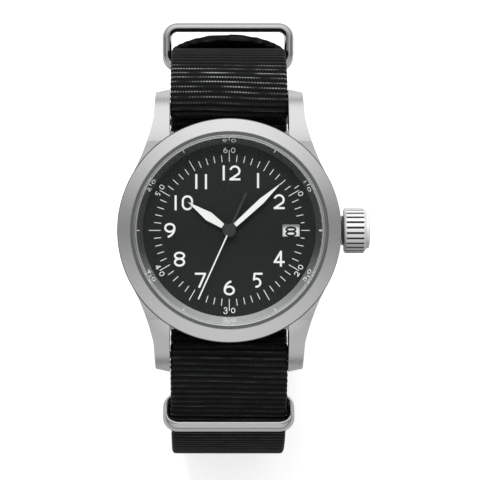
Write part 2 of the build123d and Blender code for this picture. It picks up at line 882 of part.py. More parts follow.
escape_wheel = arbored(
    [
        escape_plate.part,
        toothed_plate(
            escape_pinion_teeth,
            escape_pinion_radius,
            fourth_wheel_height,
            wheel_thickness,
            escape_place,
        ),
    ],
    escape_place,
    pivot_radius + running_gap,
    arbor_bottom,
    fourth_wheel_height + wheel_thickness,
)

# Pallet fork: a lever with two pallet arms about its pivot and a slot at the roller
with BuildPart() as pallet_fork:
    fork_plane = Plane(
        origin=(*fork_place, level(escape_wheel_height)),
        x_dir=(*heading(escapement_angle), 0),
        z_dir=(0, 0, 1),
    )
    with BuildSketch(fork_plane):
        Circle(fork_width)
        with Locations(((balance_reach - roller_radius) / 2, 0)):
            Rectangle(balance_reach - roller_radius, fork_width)
        Rectangle(fork_width, 2 * fork_tail)
        with Locations((0, fork_tail), (0, -fork_tail)):
            Rectangle(pallet_length, fork_width, align=(Align.MAX, Align.CENTER))
    extrude(amount=fork_thickness)
    with BuildSketch(Plane.XY.offset(level(bridge_top - jewel_thickness))):
        with Locations(fork_place):
            Circle(pivot_radius)
    extrude(amount=balance_height - loose_gap - bridge_top + jewel_thickness)

# Balance: a rim with three spokes, its roller below and its hairspring above
with BuildPart() as balance_wheel:
    with BuildSketch(Plane.XY.offset(level(balance_height))):
        with Locations(balance_place):
            Circle(balance_radius)
            Circle(balance_radius - balance_rim, mode=Mode.SUBTRACT)
            Circle(roller_radius)
            with PolarLocations(balance_radius / 2, 3):
                Rectangle(balance_radius - balance_rim / 2, balance_rim)
    extrude(amount=balance_thickness)
    with BuildSketch(Plane.XY.offset(level(escape_wheel_height))):
        with Locations(balance_place):
            Circle(roller_radius - loose_gap)
    extrude(amount=balance_height - escape_wheel_height)
    with BuildSketch(Plane.XY.offset(level(balance_height))):
        with Locations(balance_place):
            Circle(arbor_radius)
    extrude(amount=hairspring_height + hairspring_width - balance_height)
    with BuildSketch(Plane.XY.offset(level(bridge_top - jewel_thickness))):
        with Locations(balance_place):
            Circle(pivot_radius)
    extrude(amount=arbor_top - bridge_top + jewel_thickness - seat_gap)
hairspring = spiral_strip(
    arbor_radius + hairspring_strip,
    hairspring_radius,
    hairspring_turns,
    hairspring_strip,
    hairspring_height,
    hairspring_width,
    balance_place,
)

# Barrel: a toothed drum around the arbor and the coiled mainspring, with the ratchet wheel behind
barrel_bore = barrel_radius - barrel_radius * tooth_depth_share - barrel_wall
with BuildPart() as barrel:
    rim_bottom = barrel_bottom + barrel_height - barrel_rim_height
    add(toothed_plate(barrel_teeth, barrel_radius, rim_bottom, barrel_rim_height, barrel_place))
    with BuildSketch(Plane.XY.offset(level(barrel_bottom))):
        with Locations(barrel_place):
            Circle(barrel_bore + barrel_wall)
    extrude(amount=barrel_height - barrel_rim_height)
    with BuildSketch(Plane.XY.offset(level(barrel_bottom + barrel_wall))):
        with Locations(barrel_place):
            Circle(barrel_bore)
    extrude(amount=barrel_height - 2 * barrel_wall, mode=Mode.SUBTRACT)
    with BuildSketch(Plane.XY.offset(level(barrel_bottom))):
        with Locations(barrel_place):
            Circle(barrel_arbor_radius + running_gap)
    extrude(amount=barrel_height, mode=Mode.SUBTRACT)
mainspring = spiral_strip(
    barrel_arbor_radius + 2 * mainspring_strip,
    barrel_bore - mainspring_strip,
    mainspring_turns,
    mainspring_strip,
    barrel_bottom + barrel_wall + running_gap,
    barrel_height - 2 * barrel_wall - 2 * running_gap,
    barrel_place,
)
ratchet_bottom = bridge_top + ratchet_gap
barrel_arbor = washer(
    barrel_arbor_radius,
    0,
    bridge_bottom,
    main_plate_bottom + main_plate_thickness / 2 - seat_gap - bridge_bottom,
    barrel_place,
)
with BuildPart() as ratchet_wheel:
    add(toothed_plate(ratchet_teeth, ratchet_radius, ratchet_bottom, ratchet_thickness, barrel_place))
    with BuildSketch(Plane.XY.offset(level(ratchet_bottom))):
        with Locations(barrel_place):
            Circle(barrel_arbor_radius + seat_gap)
    extrude(amount=ratchet_thickness, mode=Mode.SUBTRACT)

# Winding rotor: a half disc with a heavy rim, on a ball bearing under the train bridge
with BuildPart() as rotor:
    with BuildSketch(Plane.XY.offset(level(rotor_bottom))):
        Circle(rotor_radius)
        Rectangle(2 * rotor_radius, rotor_radius, align=(Align.CENTER, Align.MAX), mode=Mode.INTERSECT)
        Circle(rotor_hub_radius)
        Circle(bearing_radius + running_gap, mode=Mode.SUBTRACT)
    extrude(amount=rotor_plate)
    with BuildSketch(Plane.XY.offset(level(rotor_bottom))):
        Circle(rotor_radius)
        Circle(rotor_radius - rotor_rim_width, mode=Mode.SUBTRACT)
        Rectangle(2 * rotor_radius, rotor_radius, align=(Align.CENTER, Align.MAX), mode=Mode.INTERSECT)
    extrude(amount=rotor_rim_height)
rotor_bearing = washer(
    bearing_radius,
    0,
    bridge_bottom - seat_gap - bearing_height + rotor_plate,
    bearing_height - rotor_plate,
)

# Motion work under the dial: cannon pinion, minute wheel and hour wheel
hour_plate_height = motion_work_height + 2 * motion_plate
minute_pinion_height = hour_plate_height
motion_distance = hour_wheel_radius * (1 + minute_pinion_teeth / hour_wheel_teeth)
minute_wheel_radius = motion_distance - cannon_radius
minute_place = polar(motion_distance, minute_wheel_angle)
minute_pinion_radius = motion_distance - hour_wheel_radius
with BuildPart() as cannon_pinion:
    add(toothed_plate(cannon_teeth, cannon_radius, motion_work_height + seat_gap, motion_plate))
    with BuildSketch(Plane.XY.offset(level(motion_work_height + seat_gap))):
        Circle(cannon_tube_radius)
    extrude(amount=minute_hand_height + hand_thickness - motion_work_height - seat_gap)
    with BuildSketch(Plane.XY.offset(level(motion_work_height))):
        Circle(cannon_bore_radius + seat_gap)
    extrude(amount=head_height, mode=Mode.SUBTRACT)
with BuildPart() as hour_wheel:
    add(toothed_plate(hour_wheel_teeth, hour_wheel_radius, hour_plate_height, motion_plate))
    with BuildSketch(Plane.XY.offset(level(hour_plate_height))):
        Circle(hour_tube_radius)
    extrude(amount=hour_hand_height + hand_thickness - hour_plate_height)
    with BuildSketch(Plane.XY.offset(level(hour_plate_height))):
        Circle(hour_tube_bore_radius)
    extrude(amount=head_height, mode=Mode.SUBTRACT)
with BuildPart() as minute_wheel:
    add(
        toothed_plate(
            minute_wheel_teeth,
            minute_wheel_radius,
            motion_work_height + seat_gap,
            motion_plate,
            minute_place,
        )
    )
    add(
        toothed_plate(
            minute_pinion_teeth,
            minute_pinion_radius,
            minute_pinion_height - seat_gap,
            motion_plate + seat_gap,
            minute_place,
        )
    )
    with BuildSketch(Plane.XY.offset(level(motion_work_height + seat_gap))):
        with Locations(minute_place):
            Circle(arbor_radius)
    extrude(amount=minute_pinion_height + motion_plate - motion_work_height - seat_gap)

# Date disc with its numbers under the dial's window, and the wheel that drives it
shown_angle = 90.0
disc_top = date_disc_height + date_disc_thickness
date_disc = washer(date_disc_outer_radius, date_disc_inner_radius, date_disc_height, date_disc_thickness)
date_figures = []
for day in range(1, date_days + 1):
    narrowing = date_number_spacing_share if len(str(day)) > 1 else 1
    figure = number_sketch(
        day,
        date_number_width * narrowing,
        date_number_height,
        date_number_stroke * narrowing,
        date_number_spacing_share * date_number_width + date_number_stroke / 2,
    )
    turn = (day - shown_date) * 360 / date_days
    date_figures.append((figure, clock(date_window_radius, shown_angle + date_number_lag + turn), -turn))
date_numbers = printed(date_figures, disc_top, "date_numbers")
driver_distance = date_disc_inner_radius - date_driver_radius - 2 * loose_gap
driver_place = polar(driver_distance, 2 * minute_wheel_angle)
with BuildPart() as date_driving_wheel:
    add(
        toothed_plate(
            date_driver_teeth,
            date_driver_radius,
            date_disc_height,
            date_disc_thickness,
            driver_place,
        )
    )
    with BuildSketch(Plane.XY.offset(level(plate_top + seat_gap))):
        with Locations(driver_place):
            Circle(arbor_radius)
    extrude(amount=date_disc_height - plate_top - seat_gap)

# Dial: a flat plate with a bore for the hands and a window for the date
with BuildPart() as dial:
    with BuildSketch(Plane.XY.offset(level(dial_height))):
        Circle(dial_radius)
        Circle(dial_bore_radius, mode=Mode.SUBTRACT)
        with Locations((date_window_radius, 0)):
            Rectangle(date_window_length, date_window_width, mode=Mode.SUBTRACT)
    extrude(amount=dial_thickness)

# Printed hour numbers, upright all round, with none at the date window
hour_figures = []
for hour in (1, 2, 4, 5, 6, 7, 8, 9, 10, 11, 12):
    spacing = hour_number_spacing * hour_spacing_shares.get(hour, 1)
    figure = number_sketch(hour, hour_number_width, hour_number_height, hour_number_stroke, spacing)
    circle = hour_number_circle * hour_circle_shares.get(hour, 1)
    hour_figures.append((figure, clock(circle, hour * 30), 0))
hour_numbers = printed(hour_figures, dial_top, "hour_numbers")

# Printed minute track, with two digits of a small number beside each tenth tick
track_figures = []
small_number_circle = rehaut_base_radius * small_circle_share
for minute in range(60):
    outer = rehaut_base_radius * (long_tick_share if minute % 5 == 0 else short_tick_share)
    inner = rehaut_base_radius * (window_tick_share if 13 < minute < 17 else inner_tick_share)
    with BuildSketch() as tick:
        Rectangle(tick_width, outer - inner)
    track_figures.append((tick.sketch, clock((outer + inner) / 2, 6 * minute), -6 * minute))
    if minute % 10 == 0:
        number = str(minute or 60)
        upside = 90 < 6 * minute < 270
        turn = 180 if upside else 0
        for side, digit in zip((-1, 1), reversed(number) if upside else number):
            figure = digit_figure(digit, small_number_width, small_number_height, small_number_stroke)
            shift = degrees(side * small_number_spacing / 2 / small_number_circle)
            place = clock(small_number_circle, 6 * minute + shift)
            track_figures.append((figure, place, turn - 6 * minute - shift))
minute_track = printed(track_figures, dial_top, "minute_track")


def hand_outline(start, widest, tip, base_width, width):
    """The long lozenge of a hand, drawn towards 12 o'clock."""
    return [
        (-base_width / 2, start),
        (-width / 2, widest),
        (0, tip),
        (width / 2, widest),
        (base_width / 2, start),
    ]


def lozenge_hand(angle, height, bore, hub, outline):
    """A flat hand with a round hub, turned to its place on the dial."""
    with BuildPart() as hand:
        with BuildSketch(Plane.XY.offset(level(height)).rotated((0, 0, -angle))):
            Circle(hub)
            Polygon(*outline, align=None)
            Circle(bore, mode=Mode.SUBTRACT)
        extrude(amount=hand_thickness)
    return hand.part


def lozenge_lume(angle, height, outline):
    """The light filling that lies on a hand inside its dark border."""
    with BuildPart() as lume:
        with BuildSketch(Plane.XY.offset(level(height + hand_thickness)).rotated((0, 0, -angle))):
            Polygon(*outline, align=None)
        extrude(amount=lume_proud)
    return lume.part


# Hour and minute hands, and the light filling on each
hour_hand = lozenge_hand(
    hour_hand_angle,
    hour_hand_height,
    hour_tube_radius + seat_gap,
    hour_hub_radius,
    hand_outline(0, hour_hand_widest, hour_hand_tip, hour_hand_base_width, hour_hand_width),
)
hour_lume = lozenge_lume(
    hour_hand_angle,
    hour_hand_height,
    hand_outline(
        lume_start,
        hour_hand_widest,
        hour_hand_tip - lume_border,
        hour_hand_base_width - lume_border,
        hour_hand_width - 2 * lume_border,
    ),
)
minute_hand = lozenge_hand(
    minute_hand_angle,
    minute_hand_height,
    cannon_tube_radius + seat_gap,
    minute_hub_radius,
    hand_outline(0, minute_hand_widest, minute_hand_tip, minute_hand_base_width, minute_hand_width),
)
minute_lume = lozenge_lume(
    minute_hand_angle,
    minute_hand_height,
    hand_outline(
        lume_start,
        minute_hand_widest,
        minute_hand_tip - lume_border,
        minute_hand_base_width - lume_border,
        minute_hand_width - 2 * lume_border,
    ),
)

# Second hand: a thin needle and a darker counterweight tail on one round hub
second_plane = Plane.XY.offset(level(second_hand_height)).rotated((0, 0, -second_hand_angle))
with BuildPart() as second_hand:
    with BuildSketch(second_plane):
        with Locations((0, second_hand_tip / 2)):
            Rectangle(second_hand_width, second_hand_tip)
    extrude(amount=hand_thickness)
second_hub_thickness = 2 * hand_thickness
with BuildPart() as second_hand_hub:
    with BuildSketch(second_plane):
        Circle(second_hub_radius)
        with Locations((0, -second_hand_tail / 2)):
            Rectangle(second_tail_width, second_hand_tail)
    extrude(amount=hand_thickness)
    with BuildSketch(second_plane.offset(hand_thickness)):
        Circle(second_hub_step_radius)
    extrude(amount=hand_thickness)
    with BuildSketch(second_plane.offset(second_hub_thickness)):
        Circle(second_pin_radius)
        Circle(second_pin_bore_radius, mode=Mode.SUBTRACT)
    extrude(amount=second_pin_rise)
    with BuildSketch(second_plane):
        Circle(pivot_radius + seat_gap)
    extrude(amount=hand_thickness / 2, mode=Mode.SUBTRACT)
    add(second_hand.part, mode=Mode.SUBTRACT)

# Spring bars: hollow tubes across the lug gap, with a sprung tip at each end
with BuildPart() as spring_bars:
    with BuildSketch(Plane.YZ):
        with Locations((bar_reach, level(bar_height)), (-bar_reach, level(bar_height))):
            Circle(bar_radius)
            Circle(bar_bore_radius, mode=Mode.SUBTRACT)
    extrude(amount=strap_width / 2, both=True)


def bar_tip(side, end):
    """One stepped tip, with its shank inside the tube and its point in the lug."""
    outer_end = lug_inner_edge + tip_engagement
    with BuildPart() as tip_piece:
        with BuildSketch(Plane.YZ.offset(side * (outer_end - tip_length))):
            with Locations((end * bar_reach, level(bar_height))):
                Circle(tip_radius)
        extrude(amount=side * tip_length)
    return tip_piece.part


bar_tips = {
    f"spring_bar_tip_{name}_{hand}": bar_tip(side, end)
    for name, end in (("12", 1), ("6", -1))
    for hand, side in (("crown_side", 1), ("far_side", -1))
}
shank_end = lug_inner_edge + tip_engagement - tip_length - tip_travel - seat_gap
with BuildPart() as bar_springs:
    with BuildSketch(Plane.YZ):
        with Locations((bar_reach, level(bar_height)), (-bar_reach, level(bar_height))):
            Circle(bar_spring_radius)
            Circle(bar_spring_radius - bar_spring_wire, mode=Mode.SUBTRACT)
    extrude(amount=shank_end, both=True)

# Strap route: arcs that leave each spring bar, turn down to the side and meet the flat back
under_case = -layer_gap - band_half
reach_12 = bar_reach + strap_bulge_12 - band_half
reach_6 = bar_reach + strap_bulge_6 - band_half


def side_arcs(reach, leave_angle):
    """Radii of the two arcs of one side, and the height where they meet."""
    leave_y = bar_reach + bar_wrap * sin(radians(leave_angle))
    leave_z = level(bar_height) + bar_wrap * cos(radians(leave_angle))
    upper = (reach - leave_y) / (1 - sin(radians(leave_angle)))
    meet_z = leave_z - upper * cos(radians(leave_angle))
    return upper, meet_z - band_half, meet_z


upper_12, lower_12, meet_12 = side_arcs(reach_12, leave_angle_12)
upper_6, lower_6, meet_6 = side_arcs(reach_6, leave_angle_6)
loop_center_12 = (reach_12 - lower_12, meet_12)
loop_center_6 = (upper_6 - reach_6, meet_6)

# Tail layer: it leaves the flat on a wider start, joins the outer circle at the buckle's pivot
tail_radius = lower_12 + layer_step
pivot_share = cos(radians(pivot_angle))
tail_entry_radius = (lower_12 - tail_radius * pivot_share) / (1 - pivot_share)
tail_center = ahead(loop_center_12, tail_radius - tail_entry_radius, pivot_angle - 90)

# Fold of the strap around the buckle's pivot bar, with its sewn end lying on the strap
pivot_radius_out = buckle_wire / 2
fold_radius = pivot_radius_out + running_gap + band_half
pivot_place = ahead(loop_center_12, lower_12 - fold_radius, pivot_angle - 90)
fold_heading = pivot_angle + 180 - fold_lean
fold_entry = ahead(pivot_place, fold_radius, fold_heading - 90)
fold_start = ahead(fold_entry, -fold_run, fold_heading)
with BuildPart() as main_band:
    with BuildSketch(Plane.YZ):
        with BuildLine() as band_route:
            Line(fold_start, fold_entry)
            fold = JernArc(fold_entry, heading(fold_heading), fold_radius, 180 + fold_lean)
            side_low = JernArc(fold @ 1, fold % 1, lower_12, 90 - pivot_angle)
            side_high = JernArc(side_low @ 1, (0, 1), upper_12, 90 - leave_angle_12)
            over_bar = JernArc(side_high @ 1, side_high % 1, bar_wrap, 90 + leave_angle_12)
            drop_end = (bar_reach - bar_wrap, level(under_case + under_case_bend))
            drop = Line(over_bar @ 1, drop_end)
            turn_in = JernArc(drop @ 1, (0, -1), under_case_bend, -90)
            below = Line(turn_in @ 1, (under_case_bend - drop_end[0], level(under_case)))
            turn_up = JernArc(below @ 1, (-1, 0), under_case_bend, -90)
            rise = Line(turn_up @ 1, (-drop_end[0], level(bar_height)))
            over_far_bar = JernArc(rise @ 1, (0, 1), bar_wrap, 90 + leave_angle_6)
            far_high = JernArc(over_far_bar @ 1, over_far_bar % 1, upper_6, 90 - leave_angle_6)
            far_low = JernArc(far_high @ 1, (0, -1), lower_6, 90)
            flat = Line(far_low @ 1, (tail_center[0], band_half))
            tail_entry = JernArc(flat @ 1, (1, 0), tail_entry_radius, pivot_angle)
            tail_bend = JernArc(tail_entry @ 1, tail_entry % 1, tail_radius, tail_leave_angle - pivot_angle)
        for stretch in band_route.edges():
            trace(stretch, line_width=band_thickness)
    extrude(amount=strap_width / 2, both=True)
    tail_plane = Plane(
        origin=(0, (tail_bend @ 1).X, (tail_bend @ 1).Y),
        x_dir=(1, 0, 0),
        z_dir=(0, -sin(radians(tail_leave_angle)), cos(radians(tail_leave_angle))),
    )
    with BuildSketch(tail_plane.offset(-band_half)):
        with BuildLine():
            half = strap_width / 2
            straight = tail_length - tail_tip_depth
            Polyline((-half, straight), (-half, 0), (half, 0), (half, straight))
            ThreePointArc((half, straight), (0, tail_length), (-half, straight))
        make_face()
    extrude(amount=band_thickness)
    with BuildSketch(Plane.YZ):
        with Locations(pivot_place):
            Circle(fold_radius + band_half + running_gap)
    extrude(amount=tongue_slot_width / 2, both=True, mode=Mode.SUBTRACT)

# Buckle frame: round wire from the pivot bar in the fold to the front bar over the tail
front_bar_circle = tail_entry_radius + band_half + 2 * running_gap + pivot_radius_out
front_place = ahead(tail_center, front_bar_circle, front_bar_angle - 90)


def wire_frame(middle, rise, angle, outer_width, wire, depth, corner_radius):
    """A closed frame of oval wire, centred in a plane that stands across the strap."""
    facing = heading(angle - 90)
    frame_plane = Plane(origin=(0, *middle), x_dir=(1, 0, 0), z_dir=(0, *facing))
    bar_length = outer_width - wire
    bar_middle = frame_plane.from_local_coords((0, rise / 2, 0))
    with BuildSketch(frame_plane) as path:
        RectangleRounded(bar_length, rise, corner_radius)
    with BuildPart() as frame:
        with BuildSketch(Plane(origin=bar_middle, x_dir=frame_plane.y_dir, z_dir=(1, 0, 0))):
            if depth > wire:
                Ellipse(wire / 2, depth / 2)
            else:
                Circle(wire / 2)
        sweep(path=path.sketch.wires()[0])
    return frame.part


def between(first, second):
    """The point halfway between two others."""
    return ((first[0] + second[0]) / 2, (first[1] + second[1]) / 2)


buckle_rise = hypot(front_place[0] - pivot_place[0], front_place[1] - pivot_place[1])
buckle_angle = degrees(atan2(pivot_place[1] - front_place[1], pivot_place[0] - front_place[0]))
buckle_frame = wire_frame(
    between(front_place, pivot_place),
    buckle_rise,
    buckle_angle,
    buckle_outer_width,
    buckle_wire,
    buckle_wire,
    buckle_corner_radius,
)

# Tongue: an eye on the pivot bar and a blade through an eyelet, resting over the front bar
tongue_offset = pivot_radius_out + running_gap + tongue_thickness / 2
rest_point = ahead(front_place, tongue_offset, buckle_angle - 90)
blade_angle = degrees(atan2(rest_point[1] - pivot_place[1], rest_point[0] - pivot_place[0]))
blade_length = hypot(rest_point[0] - pivot_place[0], rest_point[1] - pivot_place[1]) + tongue_overhang
with BuildPart() as buckle_tongue:
    with BuildSketch(Plane.YZ):
        with BuildLine():
            Line(pivot_place, ahead(pivot_place, blade_length, blade_angle))
        trace(line_width=tongue_thickness)
        with Locations(pivot_place):
            Circle(tongue_eye_radius)
            Circle(pivot_radius_out + running_gap, mode=Mode.SUBTRACT)
    extrude(amount=tongue_width / 2, both=True)

# Eyelets: round holes along the tail, and the one stretched by the tongue at the buckle
blade = heading(blade_angle)
offset_y, offset_z = pivot_place[0] - tail_center[0], pivot_place[1] - tail_center[1]
along = -(offset_y * blade[0] + offset_z * blade[1])
across_squared = offset_y**2 + offset_z**2 - along**2
crossing = ahead(pivot_place, along + sqrt(tail_entry_radius**2 - across_squared), blade_angle)
crossing_angle = degrees(atan2(crossing[1] - tail_center[1], crossing[0] - tail_center[0])) + 90
tail_wire = Wire([flat.edge(), tail_entry.edge(), tail_bend.edge()])
crossing_distance = flat.length + radians(crossing_angle) * tail_entry_radius


def strap_plane(distance):
    """The plane across the tail's thickness at a distance along its route."""
    middle = tail_wire.position_at(distance, position_mode=PositionMode.LENGTH)
    direction = tail_wire.tangent_at(distance, position_mode=PositionMode.LENGTH)
    return Plane(origin=(0, middle.X, middle.Y), x_dir=(1, 0, 0), z_dir=(0, direction.Y, -direction.X))


eyelet_steps = [step for step in range(-eyelets_before, eyelets_after + 1) if step]
with BuildPart() as punched_band:
    add(main_band.part)
    for step in eyelet_steps:
        with BuildSketch(strap_plane(crossing_distance + step * eyelet_spacing)):
            Circle(eyelet_radius)
        extrude(amount=band_half + running_gap, both=True, mode=Mode.SUBTRACT)
    with BuildSketch(strap_plane(crossing_distance)):
        SlotOverall(eyelet_stretch, 2 * eyelet_radius, rotation=90)
    extrude(amount=band_half + running_gap, both=True, mode=Mode.SUBTRACT)

# Retaining flap: joined inside the strap, passing under the head and folded on its own ring
flap_level = under_case - layer_step
flap_turn_start = bar_reach - flap_turn_inset
flap_circle = lower_12 - band_thickness - running_gap
flap_meet = (loop_center_12[0] + flap_circle, loop_center_12[1])
root_drop = upper_keeper_drop - ring_wire_depth / 2 - flap_root_gap
flap_root_angle = 90 - degrees(asin(root_drop / flap_circle))
flap_start = ahead(loop_center_12, flap_circle, flap_root_angle - 90)
flap_bend = level(flap_level) - flap_meet[1]
ring_half = ring_wire / 2
ring_place_radius = upper_6 + band_half + ring_slack + flap_ring_wire / 2
flap_ring_front = ahead(loop_center_6, ring_place_radius, 180 - flap_ring_angle)
flap_ring_back = ahead(loop_center_6, ring_place_radius - flap_ring_rise, 180 - flap_ring_angle)
flap_fold_radius = flap_ring_wire_depth / 2 + running_gap + band_half
reach_back = -flap_ring_back[0] - flap_turn_start
drop_back = level(flap_level) - flap_ring_back[1]
flap_turn_span = 2 * (drop_back - flap_fold_radius)
flap_turn_radius = (reach_back**2 + drop_back**2 - flap_fold_radius**2) / flap_turn_span
flap_turn_center = (-flap_turn_start, level(flap_level) - flap_turn_radius)
flap_turn = degrees(atan2(reach_back, flap_ring_back[1] - flap_turn_center[1]))
with BuildPart() as retaining_flap:
    with BuildSketch(Plane.YZ):
        with BuildLine() as flap_route:
            root = JernArc(flap_start, heading(flap_root_angle), flap_circle, 90 - flap_root_angle)
            inward = JernArc(flap_meet, (0, 1), flap_bend, 90)
            across = Line(inward @ 1, (-flap_turn_start, level(flap_level)))
            down = JernArc(across @ 1, (-1, 0), flap_turn_radius, flap_turn)
            ring_fold = JernArc(down @ 1, down % 1, flap_fold_radius, 180 + fold_lean)
            fold_back = ((ring_fold @ 1).X, (ring_fold @ 1).Y)
            Line(ring_fold @ 1, ahead(fold_back, fold_run, flap_turn + fold_lean))
        for stretch in flap_route.edges():
            trace(stretch, line_width=band_thickness)
    extrude(amount=flap_width / 2, both=True)

# Rings of oval wire: the flap's ring around the strap, and two keepers around strap and tail
flap_ring = wire_frame(
    between(flap_ring_front, flap_ring_back),
    flap_ring_rise,
    180 - flap_ring_angle,
    flap_ring_outer_width,
    flap_ring_wire,
    flap_ring_wire_depth,
    flap_ring_corner_radius,
)
band_inside = lower_12 - band_half


def keeper(drop, outer_height):
    """A ring that lies level around strap and tail, at a drop below the loop's widest point."""
    rise = outer_height - ring_wire
    inside = loop_center_12[0] + sqrt(band_inside**2 - (drop + ring_wire_depth / 2) ** 2)
    middle = (inside - keeper_slack - ring_half + rise / 2, meet_12 - drop)
    return wire_frame(middle, rise, 0, keeper_outer_width, ring_wire, ring_wire_depth, ring_corner_radius)


keeper_upper = keeper(upper_keeper_drop, upper_keeper_outer_height)
lower_keeper_drop = upper_keeper_drop + ring_wire_depth + keeper_gap
keeper_lower = keeper(lower_keeper_drop, lower_keeper_outer_height)

pieces = {
    "mid_case": mid_case.part,
    "bezel": bezel.part,
    "crystal": crystal.part,
    "crystal_gasket": crystal_gasket,
    "rehaut_ring": rehaut_ring.part,
    "case_back": case_back.part,
    "case_back_gasket": case_back_gasket.part,
    "crown_tube": crown_tube.part,
    "crown": crown.part,
    "crown_gasket": crown_gasket.part,
    "winding_stem": winding_stem.part,
    "sliding_pinion": sliding_pinion.part,
    "movement_holder": movement_holder.part,
    "main_plate": main_plate.part,
    "barrel_bridge": barrel_bridge,
    "train_bridge": train_bridge,
    "balance_cock": balance_cock,
    "jewels": jewels.part,
    "bridge_screws": bridge_screws.part,
    "center_wheel": center_wheel.part,
    "third_wheel": third_wheel,
    "fourth_wheel": fourth_wheel.part,
    "escape_wheel": escape_wheel,
    "pallet_fork": pallet_fork.part,
    "balance_wheel": balance_wheel.part,
    "hairspring": hairspring,
    "barrel": barrel.part,
    "mainspring": mainspring,
    "barrel_arbor": barrel_arbor,
    "ratchet_wheel": ratchet_wheel.part,
    "rotor": rotor.part,
    "rotor_bearing": rotor_bearing,
    "cannon_pinion": cannon_pinion.part,
    "hour_wheel": hour_wheel.part,
    "minute_wheel": minute_wheel.part,
    "date_disc": date_disc,
    "date_numbers": date_numbers,
    "date_driving_wheel": date_driving_wheel.part,
    "dial": dial.part,
    "hour_numbers": hour_numbers,
    "minute_track": minute_track,
    "hour_hand": hour_hand,
    "hour_lume": hour_lume,
    "minute_hand": minute_hand,
    "minute_lume": minute_lume,
    "second_hand": second_hand.part,
    "second_hand_hub": second_hand_hub.part,
    "spring_bars": spring_bars.part,
    "bar_springs": bar_springs.part,
    "main_band": punched_band.part,
    "retaining_flap": retaining_flap.part,
    "flap_ring": flap_ring,
    "keeper_upper": keeper_upper,
    "keeper_lower": keeper_lower,
    "buckle_frame": buckle_frame,
    "buckle_tongue": buckle_tongue.part,
    **bar_tips,
}
for name, piece in pieces.items():
    piece.label = name
    export_step(piece, f"parts/{name}.step")
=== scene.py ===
import math
import bpy
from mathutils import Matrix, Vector


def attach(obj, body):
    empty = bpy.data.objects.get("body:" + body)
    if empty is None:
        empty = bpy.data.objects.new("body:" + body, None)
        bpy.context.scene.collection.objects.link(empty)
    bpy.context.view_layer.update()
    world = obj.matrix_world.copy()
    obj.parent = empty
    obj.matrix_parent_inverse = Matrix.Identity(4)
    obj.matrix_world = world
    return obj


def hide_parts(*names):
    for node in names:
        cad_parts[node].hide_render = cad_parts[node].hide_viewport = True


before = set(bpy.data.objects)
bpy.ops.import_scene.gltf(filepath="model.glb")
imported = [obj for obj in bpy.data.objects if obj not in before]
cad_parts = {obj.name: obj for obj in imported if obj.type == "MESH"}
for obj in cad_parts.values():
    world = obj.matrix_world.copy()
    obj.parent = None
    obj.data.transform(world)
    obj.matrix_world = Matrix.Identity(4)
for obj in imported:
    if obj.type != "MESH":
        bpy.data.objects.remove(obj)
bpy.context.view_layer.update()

# Camera: straight above the dial, on a long lens, with 12 o'clock at the top of the picture.
# It stands about 400 mm above the bezel, and its picture is shifted sideways to make room for the knob.
focal_length = 174.0
sensor_width = 36.0
picture_shift = 0.07
bezel_distance = 0.4
picture_centre = (0.00181, -0.00167)
camera_height = 0.451
shift_width = picture_shift * sensor_width / focal_length * bezel_distance
camera_data = bpy.data.cameras.new("camera")
camera_data.lens = focal_length
camera_data.sensor_width = sensor_width
camera_data.clip_start = 0.01
camera_data.shift_x = picture_shift
camera = bpy.data.objects.new("camera", camera_data)
camera.location = (picture_centre[0] - shift_width, picture_centre[1], camera_height)
bpy.context.scene.collection.objects.link(camera)
bpy.context.scene.camera = camera
bpy.context.scene.view_settings.view_transform = "Standard"

# Light: one soft box towards 12 o'clock that lights matt surfaces, in a white room that metal mirrors.
# The room is brighter at 12 and 6 o'clock and darker at its sides, which shapes the bezel's reflections.


def add(tree, kind, inputs=None, **settings):
    """A node with its settings made, and each named input set to a value or joined to a socket."""
    made = tree.nodes.new(kind)
    for key, value in settings.items():
        setattr(made, key, value)
    for key, value in (inputs or {}).items():
        if isinstance(value, bpy.types.NodeSocket):
            tree.links.new(value, made.inputs[key])
        else:
            made.inputs[key].default_value = value
    return made


def value(tree, operation, *numbers):
    """The result of a math node."""
    return add(tree, "ShaderNodeMath", dict(enumerate(numbers)), operation=operation).outputs[0]


lamp_place = (-0.08, 0.68, 0.74)
lamp_aim = (0, 0, 0.04)
lamp_data = bpy.data.lights.new("soft_box_12", "AREA")
lamp_data.shape = "RECTANGLE"
lamp_data.size, lamp_data.size_y = 0.45, 0.3
lamp_data.energy = 6.2
lamp = bpy.data.objects.new("soft_box_12", lamp_data)
lamp.location = lamp_place
direction = [a - b for a, b in zip(lamp_aim, lamp_place)]
lamp.rotation_euler = Vector(direction).to_track_quat("-Z", "Y").to_euler()
lamp.visible_camera = False
lamp.visible_glossy = False
bpy.context.scene.collection.objects.link(lamp)
world = bpy.data.worlds.new("studio")
bpy.context.scene.world = world
world.use_nodes = True
tree = world.node_tree
tree.nodes.clear()
toward = add(
    tree, "ShaderNodeSeparateXYZ", {0: add(tree, "ShaderNodeTexCoord").outputs["Generated"]}
).outputs
level = value(
    tree, "ADD", value(tree, "MULTIPLY", toward[0], toward[0]), value(tree, "MULTIPLY", toward[1], toward[1])
)
side = value(tree, "DIVIDE", toward[1], value(tree, "SQRT", value(tree, "ADD", level, 0.006)))
wall_12 = value(tree, "MULTIPLY", value(tree, "POWER", value(tree, "MAXIMUM", side, 0.0), 1.1), 0.82)
wall_6 = value(
    tree,
    "MULTIPLY",
    value(tree, "POWER", value(tree, "MAXIMUM", value(tree, "MULTIPLY", side, -1.0), 0.0), 0.6),
    0.5,
)
open_sky = add(
    tree,
    "ShaderNodeMapRange",
    {"Value": toward[2], "From Min": 0.0, "From Max": 0.3, "To Min": 0.3},
    interpolation_type="SMOOTHSTEP",
).outputs[0]
bright = value(tree, "MULTIPLY", value(tree, "ADD", value(tree, "ADD", wall_12, wall_6), 0.18), open_sky)
